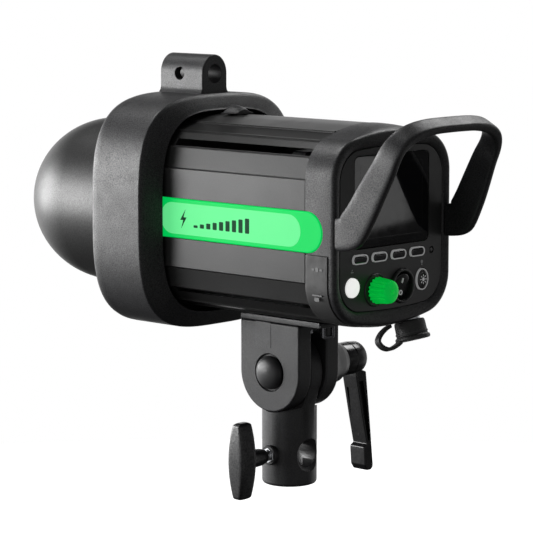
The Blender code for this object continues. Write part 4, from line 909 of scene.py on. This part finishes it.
def build_keys():
    """Soft keys with rims, lamp, model key, sensor and the printed signs."""
    for number, x in enumerate(KEY_X, 1):
        body = "key_%d" % number
        rings = []
        for inset, y in ((0.0005, 0.0755), (0.0005, 0.0800), (0.0007, 0.0804), (0.0011, 0.08062),
                (0.0016, 0.0807)):
            rings.append(layer(capsule((x, KEY_Z), KEY_HALF_W - inset, KEY_HALF_H - inset), y))
        dress(shape("soft_cap_%d" % number, loft(rings)), body, "gloss", ["soft_key_%d" % number])
        key_ring("soft_rim_%d" % number, capsule((x, KEY_Z), KEY_HALF_W + 0.0001, KEY_HALF_H + 0.0001),
                capsule((x, KEY_Z), KEY_HALF_W - 0.00038, KEY_HALF_H - 0.00038), body,
                0.0780, 0.08035)

    rings = []
    for inset, y in ((0.0, 0.0755), (0.0, 0.0801), (0.0002, 0.0805), (0.0007, 0.0808), (0.0020, 0.0809),
                     (0.0038, 0.08095)):
        rings.append(layer(circle(TEST, 0.0056 - inset), y))
    dress(shape("test_cap", loft(rings)), "test_key", "lamp_white", ["test_button"])

    rings = []
    for inset, y in ((0.0, 0.0755), (0.0, 0.0801), (0.0002, 0.0805), (0.0006, 0.0808), (0.0020, 0.08085)):
        rings.append(layer(ellipse(MODEL, 0.0046 - inset, 0.0057 - inset), y))
    dress(shape("model_cap", loft(rings)), "model_key", "gloss", ["model_button"])
    key_ring("model_rim", ellipse(MODEL, 0.00520, 0.00630), ellipse(MODEL, 0.00476, 0.00586), "model_key",
             0.0780, 0.0804)
    sun = [circle(MODEL, 0.0011, 24)]
    for i in range(8):
        a = math.pi / 4 * i
        ray = [(0.0017, -0.0003), (0.0028, -0.0003), (0.0028, 0.0003), (0.0017, 0.0003)]
        sun.append([(MODEL[0] + r * math.cos(a) - t * math.sin(a),
                MODEL[1] + r * math.sin(a) + t * math.cos(a)) for r, t in ray])
    for i, outline in enumerate(sun):
        dress(shape("sun_mark_%d" % i, prism(outline, "XZ", 0.0806, 0.0809)), "model_key", "print")

    eye = [(0, 0), (0.0017, 0), (0.0017, 0.0012), (0.0013, 0.0019), (0, 0.0021)]
    dress(shape("sensor_lens", turned(eye, (SENSOR[0], 0.0772, SENSOR[1]), (0, 1, 0), 32)), "head", "gloss",
          ["sensor_window"])
    for name, outline in (("ready_mark_a", [(-0.8, -1), (0.8, -1), (0.8, -0.5), (-0.8, -0.5)]),
            ("ready_mark_b", [(0.25, 1.0), (-0.5, 0.0), (-0.05, 0.0), (-0.25, -0.3), (0.5, 0.45),
            (0.05, 0.45)])):
        points = [(TEST[0] - 0.0014 * a, TEST[1] + 0.0096 + 0.0011 * b) for a, b in outline]
        dress(shape(name, prism(points, "XZ", PANEL_FACE - 0.0002, PANEL_FACE + 0.00005)), "head",
                "faint_print")
    lamp = [circle((MODEL[0], MODEL[1] + 0.0103), 0.0010, 20), rounded_rectangle((MODEL[0] - 0.0005,
            MODEL[1] + 0.0083), (MODEL[0] + 0.0005, MODEL[1] + 0.0091), 0.0002, 3)]
    for i, outline in enumerate(lamp):
        dress(shape("lamp_mark_%d" % i, prism(outline, "XZ", PANEL_FACE - 0.0002, PANEL_FACE + 0.00005)),
                "head", "faint_print")


def build_dial():
    """Ribbed green dial over a sunk groove ring."""
    def ribs(a, r, h):
        if h > 0.0106 or r < 0.005:
            return r
        return r - 0.00105 * (0.5 - 0.5 * math.cos(18 * a)) ** 0.8
    start = 0.0805
    profile = [(0.0033, 0), (0.0074, 0), (0.0078, 0.0004), (0.0078, 0.0012), (0.0075, 0.0030),
            (0.0072, 0.0060), (0.0070, 0.0088), (0.0068, 0.0100), (0.0064, 0.0109), (0.0057, 0.0115),
            (0.0046, 0.01185), (0.0030, 0.0120), (0.0012, 0.0120), (0.0010, 0.0080), (0.0033, 0.0080)]
    knob = shape("dial_body", turned(profile, (DIAL[0], start, DIAL[1]), (0, 1, 0), 216, ribs))
    # The dial's finish carries a painted glow.
    dress(knob, "dial", "knob_green", ["dial_knob"], sharp=50)
    plug = [(0, 0), (0.0009, 0), (0.0009, 0.00415), (0.0006, 0.00425), (0, 0.00425)]
    dress(shape("dial_centre", turned(plug, (DIAL[0], start + 0.0078, DIAL[1]), (0, 1, 0), 24)), "dial",
            "knob_green")
    groove = [(0.0088, 0.0), (0.0096, 0.0), (0.0096, 0.0006), (0.0092, 0.0010), (0.0088, 0.0006)]
    dress(shape("dial_groove", turned(groove, (DIAL[0], PANEL_FACE - 0.0003, DIAL[1]), (0, 1, 0), 80)),
            "head", "panel")


def build_rocker():
    """Round rocker in its ring, with the on and off signs."""
    centre = (ROCKER[0], 0, ROCKER[1])
    bezel = [(0, 0.0640), (0.0090, 0.0640), (0.0090, 0.0745), (0.0100, 0.0750), (0.0100, 0.0806),
            (0.0098, 0.0811), (0.0094, 0.0814), (0.0089, 0.0814), (0.0085, 0.0811), (0.0083, 0.0806),
            (0.0083, 0.0722), (0, 0.0722)]
    dress(shape("rocker_ring", turned(bezel, centre, (0, 1, 0), 80)), "head", "panel", ["power_switch"])
    pivot = Vector((ROCKER[0], 0.0768, ROCKER[1]))
    there = Matrix.Translation(pivot)
    tilt = there @ Matrix.Rotation(math.radians(-12), 4, "X") @ there.inverted()
    rings = []
    for depth, inset, bend in ((-0.0020, 0.0, 0.0), (0.0014, 0.0, 0.0008), (0.0019, 0.0002, 0.0008),
                               (0.0021, 0.0006, 0.0008), (0.0021, 0.0030, 0.0008), (0.0021, 0.0055, 0.0008)):
        row = []
        for x, z in circle((0, 0), ROCKER_R - inset, 64):
            row.append((pivot.x + x, pivot.y + depth + bend * abs(z) / ROCKER_R, pivot.z + z))
        rings.append(row)
    bm = loft(rings)
    bmesh.ops.transform(bm, matrix=tilt, verts=bm.verts)
    dress(shape("rocker_cap", bm), "rocker", "gloss", ["power_rocker"])
    marks = {"on_mark": [rounded_rectangle((-0.0004, 0.0022), (0.0004, 0.0052), 0.0003, 3)],
             "off_mark": [circle((0, -0.0036), 0.0016, 28)]}
    for name, (outline,) in marks.items():
        bm = prism(outline, "XZ", 0.0022, 0.0028)
        if name == "off_mark":
            bm.free()
            bm = turned([(0.0009, 0.0), (0.0015, 0.0), (0.0015, 0.0005), (0.0009, 0.0005)],
                    (0, 0.0023, -0.0036), (0, 1, 0), 32)
        for v in bm.verts:
            v.co.y += 0.0008 * abs(v.co.z) / ROCKER_R - 0.0001
            v.co += pivot
        bmesh.ops.transform(bm, matrix=tilt, verts=bm.verts)
        dress(shape(name, bm), "rocker", "print")


# -------------------------------------------------------------------- handle
def build_handle():
    """One smooth loop: feet on the rim, leaning arms and an arched grip."""
    along = Vector((0, math.sin(HANDLE_LEAN), math.cos(HANDLE_LEAN)))
    across = Vector((0, math.cos(HANDLE_LEAN), -math.sin(HANDLE_LEAN)))
    base, top, start, power = Vector((0, 0.0955, 0.1696)), 0.0595, 0.0331, 3.5
    side = Vector((1, 0, 0))
    half = [(Vector((0.0485, 0.08105, 0.1612)), side, Vector((0, 0, -0.0095)), 0.0),
            (Vector((0.0486, 0.0850, 0.1615)), side, Vector((0, 0.0008, -0.0096)), 0.0),
            (Vector((0.0486, 0.0890, 0.1628)), side, Vector((0, 0.0044, -0.0095)), 0.0),
            (Vector((0.0484, 0.0925, 0.1655)), side, Vector((0, 0.0076, -0.0076)), 0.0)]

    def station(up):
        share = min(1.0, max(0.0, up / top)) ** 1.5
        return base + along * up, across * (0.0101 - 0.0048 * share)
    for x, up in ((0.0474, 0.006), (0.0463, 0.018)):
        centre, width = station(up)
        half.append((centre + side * x, side, width, 0.0))
    for i in range(15):
        a = math.pi / 2 * i / 14
        out, up = abs(math.cos(a)) ** (2 / power), abs(math.sin(a)) ** (2 / power)
        centre, width = station(start + (top - start) * up)
        normal = side * out ** (power - 1) / 0.0445 + along * up ** (power - 1) / (top - start)
        half.append((centre + side * 0.0445 * out, normal.normalized(), width, 0.0012 * math.sin(2 * a) ** 2))
    flip = Vector((-1, 1, 1))
    whole = half + [(c * flip, n * flip, w, f) for c, n, w, f in reversed(half[:-1])]
    paths = [smooth_path([p[k] for p in whole], 4) for k in range(4)]
    section = []
    for i in range(36):
        a = 2 * math.pi * (i + 0.5) / 36
        c, s = math.cos(a), math.sin(a)
        section.append((math.copysign(abs(c) ** 0.30, c), math.copysign(abs(s) ** 0.55, s)))
    rings = []
    for c, n, w, fillet in zip(*paths):
        n = n.normalized()
        rings.append([c + w * a + n * (0.0026 * b - (fillet * (1 - b) / 2 if b < 0 else 0)) for a,
                b in section])
    dress(shape("handle_loop", loft(rings)), "head", "satin", ["carry_handle"], sharp=60)


# ----------------------------------------------------------- pieces as packed
def finish_cad_nodes():
    """Inner and small CAD pieces keep their shape and get a real finish."""
    finishes = {"steel": ["yoke_bolt_front", "yoke_bolt_rear", "clamp_nut", "lever_screw", "lever_spring",
            "latch_spring", "data_port", "rotary_encoder"], "brass": ["tee_pad", "rod_pad",
            "friction_washer_left", "friction_washer_right", "sync_jack"], "aluminium": ["reflector_plate",
            "capacitor_left", "capacitor_right", "chassis_plate", "heat_sink"],
            "board": ["power_board", "control_board"], "ceramic": ["lamp_base"],
            "glass": ["modelling_lamp", "flash_tube"], "knob_black": ["fan_frame", "fan_rotor",
            "display_module"],}
    for material, names in finishes.items():
        for name in names:
            obj = NODES[name]
            for slot in obj.material_slots:
                slot.material = MATERIALS[material]
            bevel = obj.modifiers.new("edge", "BEVEL")
            bevel.width = 0.0001
            bevel.segments = 1
            bevel.limit_method = "ANGLE"
            bevel.angle_limit = math.radians(40)


# --------------------------------------------------------------------- studio
def build_floor():
    """Staging: pale floor that neither lights the object nor shows in it."""
    g = Graph("studio_floor")
    coords = g.node("TexCoord").outputs["Object"]
    tone = g.remap(g.noise(coords, 6.0, 4.0), 0.3, 0.7, 0.0, 1.0)
    g.set("Base Color", g.mix(tone, (0.60, 0.60, 0.60, 1), (0.63, 0.63, 0.63, 1)))
    g.set("Roughness", 0.9)
    far = g.node("VectorMath", {"operation": "LENGTH"})
    g.put(far.inputs[0], coords)
    g.set("Emission Color", (1, 1, 1, 1))
    g.set("Emission Strength", g.remap(far.outputs["Value"], 0.15, 1.10, 0.80, 1.0))
    floor = shape("floor", turned([(0, -0.01), (1.9, -0.01), (1.9, 0), (0, 0)], (0, 0, -0.36), (0, 0, 1), 96))
    floor.data.materials.append(g.material)
    floor.visible_diffuse = floor.visible_glossy = False


def add_light(name, position, target, size, power, shape_y=None):
    light = bpy.data.lights.new(name, "AREA")
    light.shape = "RECTANGLE"
    light.size = size
    light.size_y = shape_y or size
    light.energy = power
    obj = bpy.data.objects.new(name, light)
    bpy.context.scene.collection.objects.link(obj)
    obj.location = position
    direction = Vector(target) - Vector(position)
    obj.rotation_euler = direction.to_track_quat("-Z", "Y").to_euler()
    obj.visible_camera = False
    return obj


WORLD_BASE = 0.035
WORLD_PARTS = [
    # side, where it starts and is full, fade at the top, fade at the bottom, gain
    ((-0.73, -0.683, 0.0), 0.15, 0.55, (0.22, 0.50), (-0.55, -0.25), 1.0),     # white paper behind
    ((0.73, -0.683, 0.0), 0.2, 0.8, (0.10, 0.60), (-0.75, -0.15), 0.9),        # pale wall on the left
    ((0.2, 0.98, 0.0), 0.4, 0.9, (0.3, 0.7), (-0.6, -0.2), 0.30),              # room behind the camera
]


def build_world():
    """Staging: the camera sees white, while the object is lit by a dark sky with lighter parts."""
    world = bpy.data.worlds.new("studio")
    bpy.context.scene.world = world
    world.use_nodes = True
    tree = world.node_tree
    tree.nodes.clear()
    coords = tree.nodes.new("ShaderNodeTexCoord")

    def window(direction, low, high, gain):
        dot = tree.nodes.new("ShaderNodeVectorMath")
        dot.operation = "DOT_PRODUCT"
        tree.links.new(coords.outputs["Generated"], dot.inputs[0])
        dot.inputs[1].default_value = direction
        ramp = tree.nodes.new("ShaderNodeMapRange")
        ramp.interpolation_type = "SMOOTHSTEP"
        tree.links.new(dot.outputs["Value"], ramp.inputs[0])
        for index, number in zip((1, 2, 3, 4), (low, high, 0.0, gain)):
            ramp.inputs[index].default_value = number
        return ramp.outputs[0]

    def join(operation, first, second):
        made = tree.nodes.new("ShaderNodeMath")
        made.operation = operation
        for socket, value in zip(made.inputs, (first, second)):
            if hasattr(value, "links"):
                tree.links.new(value, socket)
            else:
                socket.default_value = value
        return made.outputs[0]
    total = WORLD_BASE
    for side, low, high, top, bottom, gain in WORLD_PARTS:
        part = join("MULTIPLY", window(side, low, high, gain), window((0, 0, -1), -top[1], -top[0], 1.0))
        total = join("ADD", total, join("MULTIPLY", part, window((0, 0, 1), bottom[0], bottom[1], 1.0)))
    lit = tree.nodes.new("ShaderNodeBackground")
    tree.links.new(total, lit.inputs["Strength"])
    plain = tree.nodes.new("ShaderNodeBackground")
    for node in (lit, plain):
        node.inputs["Color"].default_value = (1, 1, 1, 1)
    path = tree.nodes.new("ShaderNodeLightPath")
    mix = tree.nodes.new("ShaderNodeMixShader")
    tree.links.new(path.outputs["Is Camera Ray"], mix.inputs[0])
    tree.links.new(lit.outputs[0], mix.inputs[1])
    tree.links.new(plain.outputs[0], mix.inputs[2])
    out = tree.nodes.new("ShaderNodeOutputWorld")
    tree.links.new(mix.outputs[0], out.inputs["Surface"])


# where the card's corners show in the display, seen from the camera: x and z
CARD_ON_DISPLAY = [(0.0345, 0.2060), (-0.0040, 0.1990), (-0.0190, 0.1640), (0.0345, 0.1590)]
CARD_DISTANCE = 0.9


def build_card():
    """Staging: a glowing card that only reflections see, so it isn't plain studio light.

    Its corners come from mirroring the camera in the display, so its reflection
    falls in the right place for that one camera only.
    """
    eye = Vector((CAMERA_AT[0], 2 * PANEL_FACE - CAMERA_AT[1], CAMERA_AT[2]))
    corners = []
    for x, z in CARD_ON_DISPLAY:
        point = Vector((x, PANEL_FACE, z))
        corners.append(point + (point - eye).normalized() * CARD_DISTANCE)
    g = Graph("studio_card")
    tone = g.remap(g.noise(g.node("TexCoord").outputs["Object"], 3.0), 0.3, 0.7, 0.95, 1.05)
    g.set("Base Color", (0.0, 0.0, 0.0, 1.0))
    g.set("Emission Color", (1.0, 1.0, 1.0, 1.0))
    g.set("Emission Strength", tone)
    card = shape("studio_card", loft([corners, [c + Vector((0, 0.004, 0)) for c in corners]]))
    card.data.materials.append(g.material)
    card.visible_camera = card.visible_diffuse = card.visible_shadow = False


def build_camera():
    camera = bpy.data.cameras.new("camera")
    camera.sensor_width = 36
    camera.lens = CAMERA_LENS
    camera.clip_start = 0.05
    obj = bpy.data.objects.new("camera", camera)
    bpy.context.scene.collection.objects.link(obj)
    obj.location = CAMERA_AT
    obj.rotation_euler = Vector(CAMERA_LOOK).to_track_quat("-Z", "Y").to_euler()
    bpy.context.scene.camera = obj


build_stand_socket()
build_tee_screw()
build_yoke()
build_pivot()
build_collar()
build_rod_screw()
build_dome()
build_shell()
build_latch()
build_housing()
build_connector()
build_panel()
build_keys()
build_dial()
build_rocker()
build_handle()
finish_cad_nodes()
build_floor()
build_world()
add_light("key_left", (0.60, -0.97, 0.23), (0, -0.02, 0.17), 1.05, 22, 0.50)
add_light("rim_right", (-1.0, -0.05, 1.15), (0, 0, 0.12), 0.6, 9)
add_light("top_soft", (0.20, -0.50, 1.25), (0, -0.06, 0.20), 0.5, 9)
build_card()
build_camera()
bpy.context.scene.view_settings.view_transform = "Standard"
